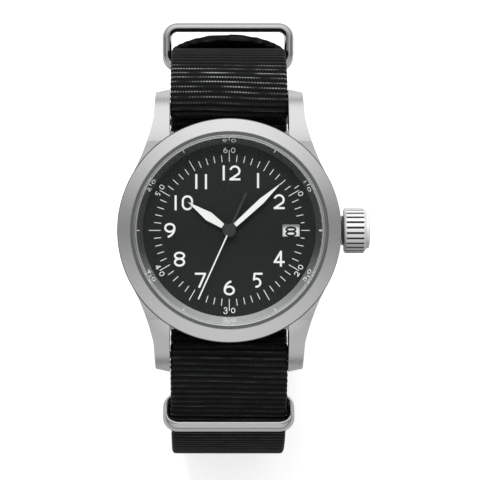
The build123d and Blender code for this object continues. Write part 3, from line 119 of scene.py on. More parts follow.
around = add(tree, "ShaderNodeBackground", {"Color": (0.99, 1.0, 1.0, 1), "Strength": bright})
seen = add(tree, "ShaderNodeBackground", {"Color": (1, 1, 1, 1), "Strength": 1.0})
rays = add(tree, "ShaderNodeLightPath")
mixed = add(
    tree, "ShaderNodeMixShader", {0: rays.outputs["Is Camera Ray"], 1: around.outputs[0], 2: seen.outputs[0]}
)
add(tree, "ShaderNodeOutputWorld", {"Surface": mixed.outputs[0]})

# Floor: a pale, matt sheet that the strap's flat back lies on, where it throws its shadow.
# It is large enough to fill the picture from every side.


def noise(tree, vector, scale, detail):
    """The value of a noise texture."""
    return add(
        tree, "ShaderNodeTexNoise", {"Vector": vector, "Scale": scale, "Detail": detail}
    ).outputs["Fac"]


def ramp(tree, source, given, wanted=(0.0, 1.0)):
    """A value moved from one range to another."""
    limits = {"From Min": given[0], "From Max": given[1], "To Min": wanted[0], "To Max": wanted[1]}
    return add(tree, "ShaderNodeMapRange", {"Value": source, **limits}).outputs[0]


def blend(tree, share, first, second):
    """A colour between two others."""
    return add(tree, "ShaderNodeMix", {0: share, 6: first, 7: second}, data_type="RGBA").outputs[2]


floor_mesh = bpy.data.meshes.new("floor")
floor_mesh.from_pydata([(-3, -3, 0), (3, -3, 0), (3, 3, 0), (-3, 3, 0)], [], [(0, 1, 2, 3)])
floor = bpy.data.objects.new("floor", floor_mesh)
bpy.context.scene.collection.objects.link(floor)
floor_finish = bpy.data.materials.new("pale_floor")
floor_finish.use_nodes = True
tree = floor_finish.node_tree
spot = add(tree, "ShaderNodeTexCoord")
tone = noise(tree, spot.outputs["Object"], 40.0, 3.0)
shade = ramp(tree, tone, (0.0, 1.0), (0.92, 0.94))
surface = tree.nodes["Principled BSDF"]
surface.inputs["Roughness"].default_value = 0.85
rays = add(tree, "ShaderNodeLightPath")
cast = value(tree, "SUBTRACT", 1.0, value(tree, "MULTIPLY", rays.outputs["Is Glossy Ray"], 0.35))
tree.links.new(value(tree, "MULTIPLY", shade, cast), surface.inputs["Base Color"])
glow = blend(tree, rays.outputs["Is Camera Ray"], (0, 0, 0, 1), (0.54, 0.54, 0.54, 1))
lifted = add(tree, "ShaderNodeEmission", {"Color": glow, "Strength": 1.0})
both = add(tree, "ShaderNodeAddShader", {0: surface.outputs[0], 1: lifted.outputs[0]})
tree.links.new(both.outputs[0], tree.nodes["Material Output"].inputs["Surface"])
floor_mesh.materials.append(floor_finish)

# Mid-case, bezel and back: the head's body, turned and milled from steel with a satin brushing.
# The bezel is a turned ring with a ledge for the crystal, and the back screws in from below.
# The brushing runs round the dial's axis. Towards 6 o'clock the lugs are painted darker as shade, and a thin
# painted shade darkens the seam where the bezel meets the mid-case.


def effect(name, inputs, outputs):
    """An empty shader group: its tree, the node its inputs come from, and the node its outputs go to."""
    tree = bpy.data.node_groups.new(name, "ShaderNodeTree")
    for label, kind, value in inputs:
        socket = tree.interface.new_socket(label, in_out="INPUT", socket_type=kind)
        if value is not None:
            socket.default_value = value
    for label, kind in outputs:
        tree.interface.new_socket(label, in_out="OUTPUT", socket_type=kind)
    return tree, add(tree, "NodeGroupInput"), add(tree, "NodeGroupOutput")


def finish(name, **settings):
    """A node material: its tree, its surface shader with plain settings, and its object coordinates."""
    made = bpy.data.materials.new(name)
    made.use_nodes = True
    surface = made.node_tree.nodes["Principled BSDF"]
    for key, setting in settings.items():
        surface.inputs[key.replace("_", " ")].default_value = setting
    place = add(made.node_tree, "ShaderNodeTexCoord").outputs["Object"]
    return made, made.node_tree, surface, place


def wear(tree, surface, source, where, low, high):
    """Joins one value to a surface's socket between two limits."""
    tree.links.new(ramp(tree, source, (0.0, 1.0), (low, high)), surface.inputs[where])


def raise_bump(tree, surface, height, distance):
    """Gives a surface a bump of the given depth."""
    bump = add(tree, "ShaderNodeBump", {"Height": height, "Distance": distance, "Strength": 1.0})
    tree.links.new(bump.outputs[0], surface.inputs["Normal"])


def dress(made, *names):
    """Gives a material to every slot of the CAD nodes."""
    for name in names:
        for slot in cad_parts[name].material_slots:
            slot.material = made


lathe, given, result = effect(
    "lathe_grain",
    [
        ("Vector", "NodeSocketVector", None),
        ("Fineness", "NodeSocketFloat", 9000.0),
        ("Streak", "NodeSocketFloat", 3.0),
    ],
    [("Grain", "NodeSocketFloat"), ("Radius", "NodeSocketFloat")],
)
parts = add(lathe, "ShaderNodeSeparateXYZ", {0: given.outputs["Vector"]})
x, y, z = parts.outputs[0], parts.outputs[1], parts.outputs[2]
radius = value(
    lathe, "SQRT", value(lathe, "ADD", value(lathe, "MULTIPLY", x, x), value(lathe, "MULTIPLY", y, y))
)
turn = value(lathe, "ARCTAN2", y, x)
wound = add(
    lathe,
    "ShaderNodeCombineXYZ",
    {
        0: value(lathe, "MULTIPLY", radius, given.outputs["Fineness"]),
        1: value(lathe, "MULTIPLY", turn, given.outputs["Streak"]),
        2: value(lathe, "MULTIPLY", z, given.outputs["Fineness"]),
    },
)
grain = noise(lathe, wound.outputs[0], 1.0, 3.0)
lathe.links.new(grain, result.inputs["Grain"])
lathe.links.new(radius, result.inputs["Radius"])

case_steel, tree, surface, place = finish("satin_case_steel", Metallic=1.0, Anisotropic=0.55)
turned = add(tree, "ShaderNodeGroup", {"Vector": place}, node_tree=lathe)
wear(tree, surface, turned.outputs["Grain"], "Roughness", 0.25, 0.29)
spot = add(tree, "ShaderNodeSeparateXYZ", {0: place}).outputs
across = add(tree, "ShaderNodeCombineXYZ", {0: value(tree, "MULTIPLY", spot[1], -1.0), 1: spot[0], 2: 0.0})
unit = add(tree, "ShaderNodeVectorMath", {0: across.outputs[0]}, operation="NORMALIZE")
tree.links.new(unit.outputs[0], surface.inputs["Tangent"])
raise_bump(tree, surface, turned.outputs["Grain"], 0.0000007)
# Painted shade: a thin dark ring where the bezel meets the mid-case, on the upper walls.
joint_radius = 0.01943
lug_root = 0.0196
off = value(tree, "ABSOLUTE", value(tree, "SUBTRACT", turned.outputs["Radius"], joint_radius))
seam_shade_band = ramp(tree, off, (0.00007, 0.00014), (1.0, 0.0))
upper = ramp(tree, spot[2], (0.0462, 0.0466))
painted_seam_shade = value(tree, "MULTIPLY", seam_shade_band, upper)
# Painted shade: past the lug roots towards 6 o'clock the steel colour is darker.
past = ramp(tree, turned.outputs["Radius"], (lug_root, 0.0215))
lug_shade_6 = value(tree, "MULTIPLY", past, value(tree, "LESS_THAN", spot[1], 0.0))
steel_with_lug_shade = blend(tree, lug_shade_6, (0.8, 0.8, 0.79, 1), (0.64, 0.64, 0.63, 1))
tint = blend(tree, painted_seam_shade, steel_with_lug_shade, (0.12, 0.12, 0.12, 1))
tree.links.new(tint, surface.inputs["Base Color"])
dress(case_steel, "mid_case", "case_back", "bezel")

# Winding knob: steel, with milled flutes round its rim and a plain end, screwed onto the winding stem.
# The flutes are polished by handling. Painted shade darkens the knob's lower side, its flute grooves and its
# collar by the case, and its neck is painted dark as shade.
drawn, given, result = effect(
    "drawn_grain",
    [("Vector", "NodeSocketVector", None), ("Scale", "NodeSocketVector", (400.0, 9000.0, 9000.0))],
    [("Grain", "NodeSocketFloat")],
)
stretch = add(
    drawn, "ShaderNodeMapping", {"Vector": given.outputs["Vector"], "Scale": given.outputs["Scale"]}
)
drawn.links.new(noise(drawn, stretch.outputs[0], 1.0, 3.0), result.inputs["Grain"])

knob_steel, tree, surface, place = finish("fluted_knob_steel", Metallic=0.25)
milled = {"Vector": place, "Scale": (700.0, 7000.0, 7000.0)}
grain = add(tree, "ShaderNodeGroup", milled, node_tree=drawn).outputs["Grain"]
wear(tree, surface, grain, "Roughness", 0.1, 0.24)
raise_bump(tree, surface, grain, 0.000003)
axis = (0.0, 0.0, 0.0454)
collar_end = 0.02002
groove_floor = 0.00388
flute_start, flute_end = 0.02035, 0.0234
knob_place = add(tree, "ShaderNodeVectorMath", {0: place, 1: axis}, operation="SUBTRACT").outputs[0]
parts = add(tree, "ShaderNodeSeparateXYZ", {0: knob_place}).outputs
flat = add(tree, "ShaderNodeCombineXYZ", {0: 0.0, 1: parts[1], 2: parts[2]})
out = add(tree, "ShaderNodeVectorMath", {0: flat.outputs[0]}, operation="LENGTH").outputs["Value"]
# Painted shade: the collar by the case and the floors of the flutes go almost black.
collar_shade = ramp(tree, parts[0], (0.01995, collar_end), (1.0, 0.0))
groove_shade = ramp(tree, out, (groove_floor, 0.00397), (1.0, 0.0))
fluted = value(tree, "GREATER_THAN", out, 0.0036)
after = value(tree, "GREATER_THAN", parts[0], flute_start)
before = value(tree, "LESS_THAN", parts[0], flute_end)
rim = value(tree, "MULTIPLY", fluted, value(tree, "MULTIPLY", after, before))
painted_knob_shade = value(tree, "MAXIMUM", collar_shade, value(tree, "MULTIPLY", groove_shade, rim))
# Painted shade: the knob's lower side, towards 6 o'clock, is darker than its upper side.
lower = ramp(tree, parts[1], (-0.0036, 0.0005))
painted_light_tone = blend(tree, lower, (0.45, 0.45, 0.445, 1), (0.92, 0.92, 0.91, 1))
tint = blend(tree, painted_knob_shade, painted_light_tone, (0.025, 0.025, 0.025, 1))
tree.links.new(tint, surface.inputs["Base Color"])
dress(knob_steel, "crown")
# Painted shade: the neck's near-black steel stands for the shadow between case and knob.
neck, tree, surface, place = finish("painted_shade_neck_steel", Base_Color=(0.1, 0.1, 0.1, 1), Metallic=1.0)
tone = noise(tree, place, 2500.0, 3.0)
wear(tree, surface, tone, "Roughness", 0.35, 0.5)
dress(neck, "crown_tube")

# Crystal: a flat sapphire disc with a bevelled edge, seated on a dark gasket inside the bezel.
# It is ground and polished, so light from the dial passes it almost unchanged.
glass = bpy.data.materials.new("clear_crystal")
glass.use_nodes = True
tree = glass.node_tree
surface = tree.nodes["Principled BSDF"]
surface.inputs["Base Color"].default_value = (1, 1, 1, 1)
surface.inputs["Transmission Weight"].default_value = 1.0
surface.inputs["IOR"].default_value = 1.22
surface.inputs["Roughness"].default_value = 0.0
rays = add(tree, "ShaderNodeLightPath").outputs
bounced = value(
    tree,
    "SUBTRACT",
    value(tree, "MAXIMUM", rays["Is Diffuse Ray"], rays["Is Glossy Ray"]),
    rays["Is Transmission Ray"],
)
clear = add(tree, "ShaderNodeBsdfTransparent", {"Color": (0.97, 0.98, 0.98, 1)})
passed = add(
    tree,
    "ShaderNodeMixShader",
    {0: value(tree, "MAXIMUM", rays["Is Shadow Ray"], bounced), 1: surface.outputs[0], 2: clear.outputs[0]},
)
tree.links.new(passed.outputs[0], tree.nodes["Material Output"].inputs["Surface"])
dress(glass, "crystal")
seal, tree, surface, place = finish("gasket_nylon", Base_Color=(0.1, 0.105, 0.105, 1))
tone = noise(tree, place, 1500.0, 3.0)
wear(tree, surface, tone, "Roughness", 0.35, 0.6)
raise_bump(tree, surface, tone, 0.00001)
dress(seal, "crystal_gasket", "case_back_gasket", "crown_gasket", "movement_holder")

# Rehaut: the turned steel ring between dial and crystal, polished so that it mirrors the dial's edge.
# It is pressed into the mid-case over the dial.
mirror_steel, tree, surface, place = finish("polished_rehaut_steel", Base_Color=(0.9, 0.9, 0.89, 1))
turned = add(tree, "ShaderNodeGroup", {"Vector": place}, node_tree=lathe)
wear(tree, surface, turned.outputs["Grain"], "Roughness", 0.03, 0.07)
# Painted highlight: towards 6 o'clock the ring turns less metallic, so the 12 o'clock soft box lights its
# lower side brighter.
lift = value(
    tree, "DIVIDE", add(tree, "ShaderNodeSeparateXYZ", {0: place}).outputs[1], turned.outputs["Radius"]
)
painted_lower_light = ramp(tree, lift, (-1.0, -0.2), (0.5, 0.94))
tree.links.new(painted_lower_light, surface.inputs["Metallic"])
dress(mirror_steel, "rehaut_ring")

# Dial: a brass disc with a matt, faintly greenish black lacquer, and a window cut for the date.
# Numerals and track are pad printed in white, and the date is printed in black on a white disc.
dial_paint, tree, surface, place = finish("matt_dial_black", Specular_IOR_Level=0.05)
speck = noise(tree, place, 9000.0, 2.0)
shade = ramp(tree, speck, (0.0, 1.0), (0.92, 1.08))
tint = add(tree, "ShaderNodeVectorMath", {0: (0.0175, 0.0205, 0.0195), "Scale": shade}, operation="SCALE")
tree.links.new(tint.outputs[0], surface.inputs["Base Color"])
wear(tree, surface, speck, "Roughness", 0.66, 0.78)
raise_bump(tree, surface, speck, 0.0000004)
dress(dial_paint, "dial")
for name, low, high, nodes in (
    ("white_print", (0.9, 0.9, 0.88), (0.95, 0.95, 0.93), ("hour_numbers", "minute_track")),
    ("date_print", (0.006, 0.006, 0.006), (0.012, 0.012, 0.012), ("date_numbers",)),
    ("date_disc_white", (0.92, 0.92, 0.91), (0.96, 0.96, 0.95), ("date_disc",)),
    ("hand_lume", (0.88, 0.89, 0.86), (0.94, 0.94, 0.91), ("hour_lume", "minute_lume")),
    ("second_hand_white", (0.86, 0.86, 0.84), (0.9, 0.9, 0.88), ("second_hand",)),
    ("hand_frame_black", (0.01, 0.011, 0.011), (0.02, 0.02, 0.02), ("hour_hand", "minute_hand")),
    ("hub_grey", (0.025, 0.027, 0.027), (0.04, 0.042, 0.042), ("second_hand_hub",)),
):
    paint, tree, surface, place = finish(name)
    speck = noise(tree, place, 7000.0, 3.0)
    tint = blend(tree, speck, (*low, 1), (*high, 1))
    tree.links.new(tint, surface.inputs["Base Color"])
    wear(tree, surface, speck, "Roughness", 0.45, 0.75)
    raise_bump(tree, surface, speck, 0.000006)
    dress(paint, *nodes)

# Movement: rhodium-toned plate and bridges, brass wheels, steel springs and screws, and red jewels.
# It is all turned, stamped or cut metal, screwed together behind the dial.
for name, colour, rough, nodes in (
    (
        "plate_metal",
        (0.6, 0.59, 0.56),
        (0.25, 0.4),
        ("main_plate", "barrel_bridge", "train_bridge", "balance_cock", "rotor_bearing"),
    ),
    (
        "wheel_brass",
        (0.72, 0.53, 0.24),
        (0.2, 0.36),
        (
            "center_wheel",
            "third_wheel",
            "fourth_wheel",
            "barrel",
            "balance_wheel",
            "hour_wheel",
            "minute_wheel",
            "date_driving_wheel",
            "rotor",
        ),
    ),
    (
        "cut_steel",
        (0.52, 0.52, 0.54),
        (0.14, 0.3),
        (
            "bridge_screws",
            "escape_wheel",
            "pallet_fork",
            "barrel_arbor",
            "ratchet_wheel",
            "cannon_pinion",
            "winding_stem",
            "sliding_pinion",
            "spring_bars",
        ),
    ),
    (
        "spring_steel",
        (0.34, 0.36, 0.42),
        (0.2, 0.35),
        (
            "hairspring",
            "mainspring",
            "bar_springs",
            "spring_bar_tip_12_crown_side",
            "spring_bar_tip_12_far_side",
            "spring_bar_tip_6_crown_side",
            "spring_bar_tip_6_far_side",
        ),
    ),
):
    metal, tree, surface, place = finish(name, Base_Color=(*colour, 1), Metallic=1.0)
    turned = add(tree, "ShaderNodeGroup", {"Vector": place}, node_tree=lathe)
    wear(tree, surface, turned.outputs["Grain"], "Roughness", *rough)
    raise_bump(tree, surface, turned.outputs["Grain"], 0.000003)
    dress(metal, *nodes)
ruby, tree, surface, place = finish("red_jewel", Roughness=0.1, IOR=1.76)
tone = noise(tree, place, 1200.0, 2.0)
tint = blend(tree, tone, (0.3, 0.005, 0.03, 1), (0.5, 0.02, 0.08, 1))
tree.links.new(tint, surface.inputs["Base Color"])
dress(ruby, "jewels")

# Strap rings and buckle: steel wire, rolled oval and bent into frames, brushed along the wire.
# The tongue is stamped from the same steel and turns on the buckle's pivot bar.
ring_steel, tree, surface, place = finish(
    "brushed_ring_steel", Base_Color=(0.66, 0.665, 0.66, 1), Metallic=1.0
)
grain = add(tree, "ShaderNodeGroup", {"Vector": place}, node_tree=drawn).outputs["Grain"]
wear(tree, surface, grain, "Roughness", 0.08, 0.16)
raise_bump(tree, surface, grain, 0.000003)
dress(ring_steel, "keeper_upper", "keeper_lower", "flap_ring", "buckle_frame", "buckle_tongue")

# Strap: one long band of ribbed nylon webbing, woven with a flat selvage along both edges.
# It folds round the buckle's bar, passes over both spring bars and under the head, and ends in a cut tip.


def walk(start, heading, runs, aside=0.0, step=0.0002):
    """Points along straight runs and arcs in the YZ plane, a little aside to the right of their middle line.

    A run is (length,) or (radius, degrees to the left), and both are measured on the middle line.
    """
    facing = math.radians(heading)
    y, z = start[0] + aside * math.sin(facing), start[1] - aside * math.cos(facing)
    points = [(0.0, y, z)]
    for run in runs:
        if len(run) == 1:
            count = max(1, round(run[0] / step))
            for _ in range(count):
                y += run[0] / count * math.cos(facing)
                z += run[0] / count * math.sin(facing)
                points.append((0.0, y, z))
        else:
            side = math.copysign(1, run[1])
            bend = run[0] + side * aside
            middle_y = y - side * bend * math.sin(facing)
            middle_z = z + side * bend * math.cos(facing)
            count = max(2, round(bend * abs(math.radians(run[1])) / step))
            for number in range(1, count + 1):
                angle = facing + math.radians(run[1]) * number / count
                y = middle_y + side * bend * math.sin(angle)
                z = middle_z - side * bend * math.cos(angle)
                points.append((0.0, y, z))
            facing += math.radians(run[1])
    return points


def curve_of(name, points, closed=False):
    """A curve object of straight pieces through the points."""
    data = bpy.data.curves.new(name, "CURVE")
    data.dimensions = "3D"
    line = data.splines.new("POLY")
    line.points.add(len(points) - 1)
    for spot, point in zip(line.points, points):
        spot.co = (*point, 1)
    line.use_cyclic_u = closed
    made = bpy.data.objects.new(name, data)
    bpy.context.scene.collection.objects.link(made)
    return made


def formed(tree, target, settings, name):
    """Runs a geometry tree on an object with its inputs set, and returns a plain mesh object."""
    modifier = target.modifiers.new("form", "NODES")
    modifier.node_group = tree
    for item in tree.interface.items_tree:
        if item.in_out == "INPUT" and item.name in settings:
            modifier[item.identifier] = settings[item.name]
    bpy.context.view_layer.update()
    graph = bpy.context.evaluated_depsgraph_get()
    mesh = bpy.data.meshes.new_from_object(target.evaluated_get(graph), depsgraph=graph)
    mesh.name = name
    target.modifiers.remove(modifier)
    bpy.data.objects.remove(target)
    made = bpy.data.objects.new(name, mesh)
    bpy.context.scene.collection.objects.link(made)
    return made


def geometry(name, inputs):
    """An empty geometry tree with named inputs: its tree, its input node and its output node."""
    tree = bpy.data.node_groups.new(name, "GeometryNodeTree")
    tree.interface.new_socket("Geometry", in_out="INPUT", socket_type="NodeSocketGeometry")
    tree.interface.new_socket("Geometry", in_out="OUTPUT", socket_type="NodeSocketGeometry")
    for label, kind, value in inputs:
        socket = tree.interface.new_socket(label, in_out="INPUT", socket_type=kind)
        if value is not None:
            socket.default_value = value
    return tree, add(tree, "NodeGroupInput"), add(tree, "NodeGroupOutput")


def outline_of(width, thickness, name):
    """The cross-section of a band that hangs from its route on one side, as a closed curve.

    The side depends on the route's first heading. From one that leans towards 6 o'clock it hangs inwards,
    and from one that leans towards 12 o'clock it hangs outwards, so that route is the inner face.
    """
    half, flat = thickness / 2, width / 2 - thickness / 2
    points = []
    for side in (1, -1):
        for number in range(7):
            angle = math.radians(90 * side - 30 * number)
            points.append((side * flat + half * math.cos(angle), half * math.sin(angle) + half, 0.0))
        steps = 12
        for number in range(1, steps):
            points.append((side * flat * (1 - 2 * number / steps), half - side * half, 0.0))
    return curve_of(name, points[::-1], closed=True)


webbing_thickness = 0.0013
face = webbing_thickness / 2
rib_pitch = 0.00118
webbing, given, result = geometry(
    "ribbed_band",
    [
        ("Outline", "NodeSocketObject", None),
        ("Finish", "NodeSocketMaterial", None),
        ("Rib Pitch", "NodeSocketFloat", rib_pitch),
        ("Rib Depth", "NodeSocketFloat", 0.0003),
        ("Edge", "NodeSocketFloat", 0.00985),
        ("Tip Depth", "NodeSocketFloat", 0.0),
        ("Tip Radius", "NodeSocketFloat", 0.01249),
        ("Half Width", "NodeSocketFloat", 0.01035),
    ],
)
ring = value(webbing, "DIVIDE", given.outputs["Rib Pitch"], 8.0)
even = add(
    webbing, "GeometryNodeResampleCurve", {"Curve": given.outputs["Geometry"], "Length": ring}, mode="LENGTH"
)
length = add(webbing, "GeometryNodeSplineParameter").outputs["Length"]
route = add(
    webbing,
    "GeometryNodeStoreNamedAttribute",
    {"Geometry": even.outputs[0], "Name": "along", "Value": length},
    data_type="FLOAT",
    domain="POINT",
)
section = add(webbing, "GeometryNodeObjectInfo", {"Object": given.outputs["Outline"]})
section_x = add(
    webbing, "ShaderNodeSeparateXYZ", {0: add(webbing, "GeometryNodeInputPosition").outputs[0]}
).outputs[0]
profile = add(
    webbing,
    "GeometryNodeStoreNamedAttribute",
    {"Geometry": section.outputs["Geometry"], "Name": "across", "Value": section_x},
    data_type="FLOAT",
    domain="POINT",
)
swept = add(
    webbing,
    "GeometryNodeCurveToMesh",
    {"Curve": route.outputs[0], "Profile Curve": profile.outputs[0], "Fill Caps": True},
)
along = add(webbing, "GeometryNodeInputNamedAttribute", {"Name": "along"}, data_type="FLOAT").outputs[0]
across = add(webbing, "GeometryNodeInputNamedAttribute", {"Name": "across"}, data_type="FLOAT").outputs[0]
drift = noise(webbing, add(webbing, "GeometryNodeInputPosition").outputs[0], 70.0, 1.0)
bowed = value(
    webbing, "ADD", value(webbing, "MULTIPLY", across, 0.02), value(webbing, "MULTIPLY", drift, 0.0009)
)
row = value(webbing, "ADD", along, bowed)
wave = value(
    webbing,
    "SINE",
    value(webbing, "MULTIPLY", value(webbing, "DIVIDE", row, given.outputs["Rib Pitch"]), math.pi),
)
crest = value(webbing, "POWER", value(webbing, "ABSOLUTE", wave), 0.7)
inside = value(webbing, "LESS_THAN", value(webbing, "ABSOLUTE", across), given.outputs["Edge"])
hollow = value(webbing, "MULTIPLY", value(webbing, "SUBTRACT", 1.0, crest), given.outputs["Rib Depth"])
softer = value(webbing, "ADD", value(webbing, "MULTIPLY", inside, 0.7), 0.3)
normal = add(webbing, "GeometryNodeInputNormal").outputs[0]
inward = add(
    webbing,
    "ShaderNodeVectorMath",
    {0: normal, "Scale": value(webbing, "MULTIPLY", value(webbing, "MULTIPLY", hollow, softer), -1.0)},
    operation="SCALE",
)
ribbed = add(webbing, "GeometryNodeSetPosition", {"Geometry": swept.outputs[0], "Offset": inward.outputs[0]})
total = add(
    webbing,
    "GeometryNodeAttributeStatistic",
    {"Geometry": swept.outputs[0], "Attribute": along},
    data_type="FLOAT",
    domain="POINT",
).outputs["Max"]
into = value(
    webbing,
    "MAXIMUM",
    value(webbing, "SUBTRACT", along, value(webbing, "SUBTRACT", total, given.outputs["Tip Depth"])),
    0.0,
)
rise = value(
    webbing, "ADD", into, value(webbing, "SUBTRACT", given.outputs["Tip Radius"], given.outputs["Tip Depth"])
)
room = value(
    webbing,
    "MAXIMUM",
    value(
        webbing,
        "SUBTRACT",
        value(webbing, "MULTIPLY", given.outputs["Tip Radius"], given.outputs["Tip Radius"]),
        value(webbing, "MULTIPLY", rise, rise),
    ),
    0.0,
)
share = value(
    webbing,
    "MINIMUM",
    value(
        webbing,
        "MAXIMUM",
        value(webbing, "DIVIDE", value(webbing, "SQRT", room), given.outputs["Half Width"]),
        0.03,
    ),
    1.0,
)
tipped = value(webbing, "GREATER_THAN", given.outputs["Tip Depth"], 0.0001)
narrow = value(
    webbing, "ADD", value(webbing, "MULTIPLY", share, tipped), value(webbing, "SUBTRACT", 1.0, tipped)
)
spot = add(webbing, "GeometryNodeInputPosition").outputs[0]
frayed = noise(
    webbing, add(webbing, "ShaderNodeCombineXYZ", {0: along, 1: 0.0, 2: 0.0}).outputs[0], 900.0, 2.0
)
uneven = value(
    webbing, "ADD", value(webbing, "MULTIPLY", value(webbing, "SUBTRACT", frayed, 0.5), 0.014), 0.998
)
slim = add(webbing, "ShaderNodeCombineXYZ", {0: value(webbing, "MULTIPLY", narrow, uneven), 1: 1.0, 2: 1.0})
pinched = add(webbing, "ShaderNodeVectorMath", {0: spot, 1: slim.outputs[0]}, operation="MULTIPLY")
rounded = add(
    webbing, "GeometryNodeSetPosition", {"Geometry": ribbed.outputs[0], "Position": pinched.outputs[0]}
)
pair = add(webbing, "ShaderNodeCombineXYZ", {0: across, 1: row, 2: 0.0})
mapped = add(
    webbing,
    "GeometryNodeStoreNamedAttribute",
    {"Geometry": rounded.outputs[0], "Name": "UVMap", "Value": pair.outputs[0]},
    data_type="FLOAT2",
    domain="CORNER",
)
smooth = add(webbing, "GeometryNodeSetShadeSmooth", {"Geometry": mapped.outputs[0]})
solid = add(webbing, "GeometryNodeRealizeInstances", {"Geometry": smooth.outputs[0]})
dyed = add(
    webbing, "GeometryNodeSetMaterial", {"Geometry": solid.outputs[0], "Material": given.outputs["Finish"]}
)
webbing.links.new(dyed.outputs[0], result.inputs["Geometry"])

punch, given, result = geometry(
    "row_of_holes",
    [
        ("Route", "NodeSocketObject", None),
        ("Finish", "NodeSocketMaterial", None),
        ("First Hole", "NodeSocketFloat", 0.1812156),
        ("Spacing", "NodeSocketFloat", 0.0085),
        ("Count", "NodeSocketInt", 7),
        ("Radius", "NodeSocketFloat", 0.001),
        ("Depth", "NodeSocketFloat", 0.0015),
        ("Stretched", "NodeSocketInt", 4),
    ],
)
line = add(punch, "GeometryNodeObjectInfo", {"Object": given.outputs["Route"]})
row = add(punch, "GeometryNodeMeshLine", {"Count": given.outputs["Count"]})
order = add(punch, "GeometryNodeInputIndex").outputs[0]
reach = value(
    punch, "ADD", given.outputs["First Hole"], value(punch, "MULTIPLY", order, given.outputs["Spacing"])
)
taken = add(
    punch, "GeometryNodeSampleCurve", {"Curves": line.outputs["Geometry"], "Length": reach}, mode="LENGTH"
)
stood = add(
    punch, "GeometryNodeSetPosition", {"Geometry": row.outputs[0], "Position": taken.outputs["Position"]}
)
marked = add(
    punch,
    "GeometryNodeStoreNamedAttribute",
    {"Geometry": stood.outputs[0], "Name": "way", "Value": taken.outputs["Tangent"]},
    data_type="FLOAT_VECTOR",
    domain="POINT",
)
way = add(punch, "GeometryNodeInputNamedAttribute", {"Name": "way"}, data_type="FLOAT_VECTOR").outputs[0]
upright = add(punch, "ShaderNodeVectorMath", {0: way, 1: (1.0, 0.0, 0.0)}, operation="CROSS_PRODUCT")
facing = add(punch, "FunctionNodeAlignRotationToVector", {"Vector": upright.outputs[0]}, axis="Z")
settled = add(
    punch,
    "FunctionNodeAlignRotationToVector",
    {"Rotation": facing.outputs[0], "Vector": (1.0, 0.0, 0.0)},
    axis="X",
    pivot_axis="Z",
)
pin = add(
    punch,
    "GeometryNodeMeshCylinder",
    {"Vertices": 32, "Radius": given.outputs["Radius"], "Depth": given.outputs["Depth"]},
)
long = add(
    punch,
    "FunctionNodeCompare",
    {2: order, 3: given.outputs["Stretched"]},
    data_type="INT",
    operation="EQUAL",
).outputs[0]
size = add(
    punch,
    "ShaderNodeCombineXYZ",
    {0: 1.0, 1: value(punch, "ADD", 1.0, value(punch, "MULTIPLY", long, 0.9)), 2: 1.0},
)
pins = add(
    punch,
    "GeometryNodeInstanceOnPoints",
    {
        "Points": marked.outputs[0],
        "Instance": pin.outputs[0],
        "Rotation": settled.outputs[0],
        "Scale": size.outputs[0],
    },
)
loose = add(punch, "GeometryNodeRealizeInstances", {"Geometry": pins.outputs[0]})
cut = add(
    punch,
    "GeometryNodeMeshBoolean",
    {"Mesh 1": given.outputs["Geometry"]},
    operation="DIFFERENCE",
    solver="EXACT",
)
punch.links.new(loose.outputs[0], cut.inputs["Mesh 2"])
solid = add(punch, "GeometryNodeRealizeInstances", {"Geometry": cut.outputs[0]})
dyed = add(
    punch, "GeometryNodeSetMaterial", {"Geometry": solid.outputs[0], "Material": given.outputs["Finish"]}
)
punch.links.new(dyed.outputs[0], result.inputs["Geometry"])

nylon, tree, surface, place = finish("black_nylon_webbing", Specular_IOR_Level=0.1)
flat = add(tree, "ShaderNodeUVMap", uv_map="UVMap").outputs[0]
parts = add(tree, "ShaderNodeSeparateXYZ", {0: flat})
rib = value(tree, "DIVIDE", parts.outputs[1], rib_pitch)
crest = value(tree, "ABSOLUTE", value(tree, "SINE", value(tree, "MULTIPLY", rib, math.pi)))
shift = value(tree, "MULTIPLY", value(tree, "FLOOR", rib), 0.37)
thread = value(tree, "ADD", value(tree, "DIVIDE", parts.outputs[0], 0.0005), shift)
strand = value(tree, "ABSOLUTE", value(tree, "SINE", value(tree, "MULTIPLY", thread, math.pi)))
fuzz = noise(tree, place, 5200.0, 4.0)
cloud = noise(tree, place, 260.0, 2.0)
streaked = add(
    tree,
    "ShaderNodeCombineXYZ",
    {
        0: value(tree, "MULTIPLY", parts.outputs[0], 220.0),
        1: value(tree, "MULTIPLY", value(tree, "FLOOR", rib), 5.3),
        2: 0.0,
    },
)
patch = noise(tree, streaked.outputs[0], 1.0, 2.0)
weave = value(tree, "MULTIPLY", crest, value(tree, "ADD", value(tree, "MULTIPLY", strand, 0.6), 0.4))
tone = value(
    tree,
    "ADD",
    value(tree, "MULTIPLY", weave, 0.55),
    value(tree, "ADD", value(tree, "MULTIPLY", fuzz, 0.6), value(tree, "MULTIPLY", cloud, 0.35)),
)
tint = blend(
    tree, value(tree, "SUBTRACT", tone, 0.3), (0.001, 0.0011, 0.0011, 1), (0.0155, 0.0165, 0.0163, 1)
)
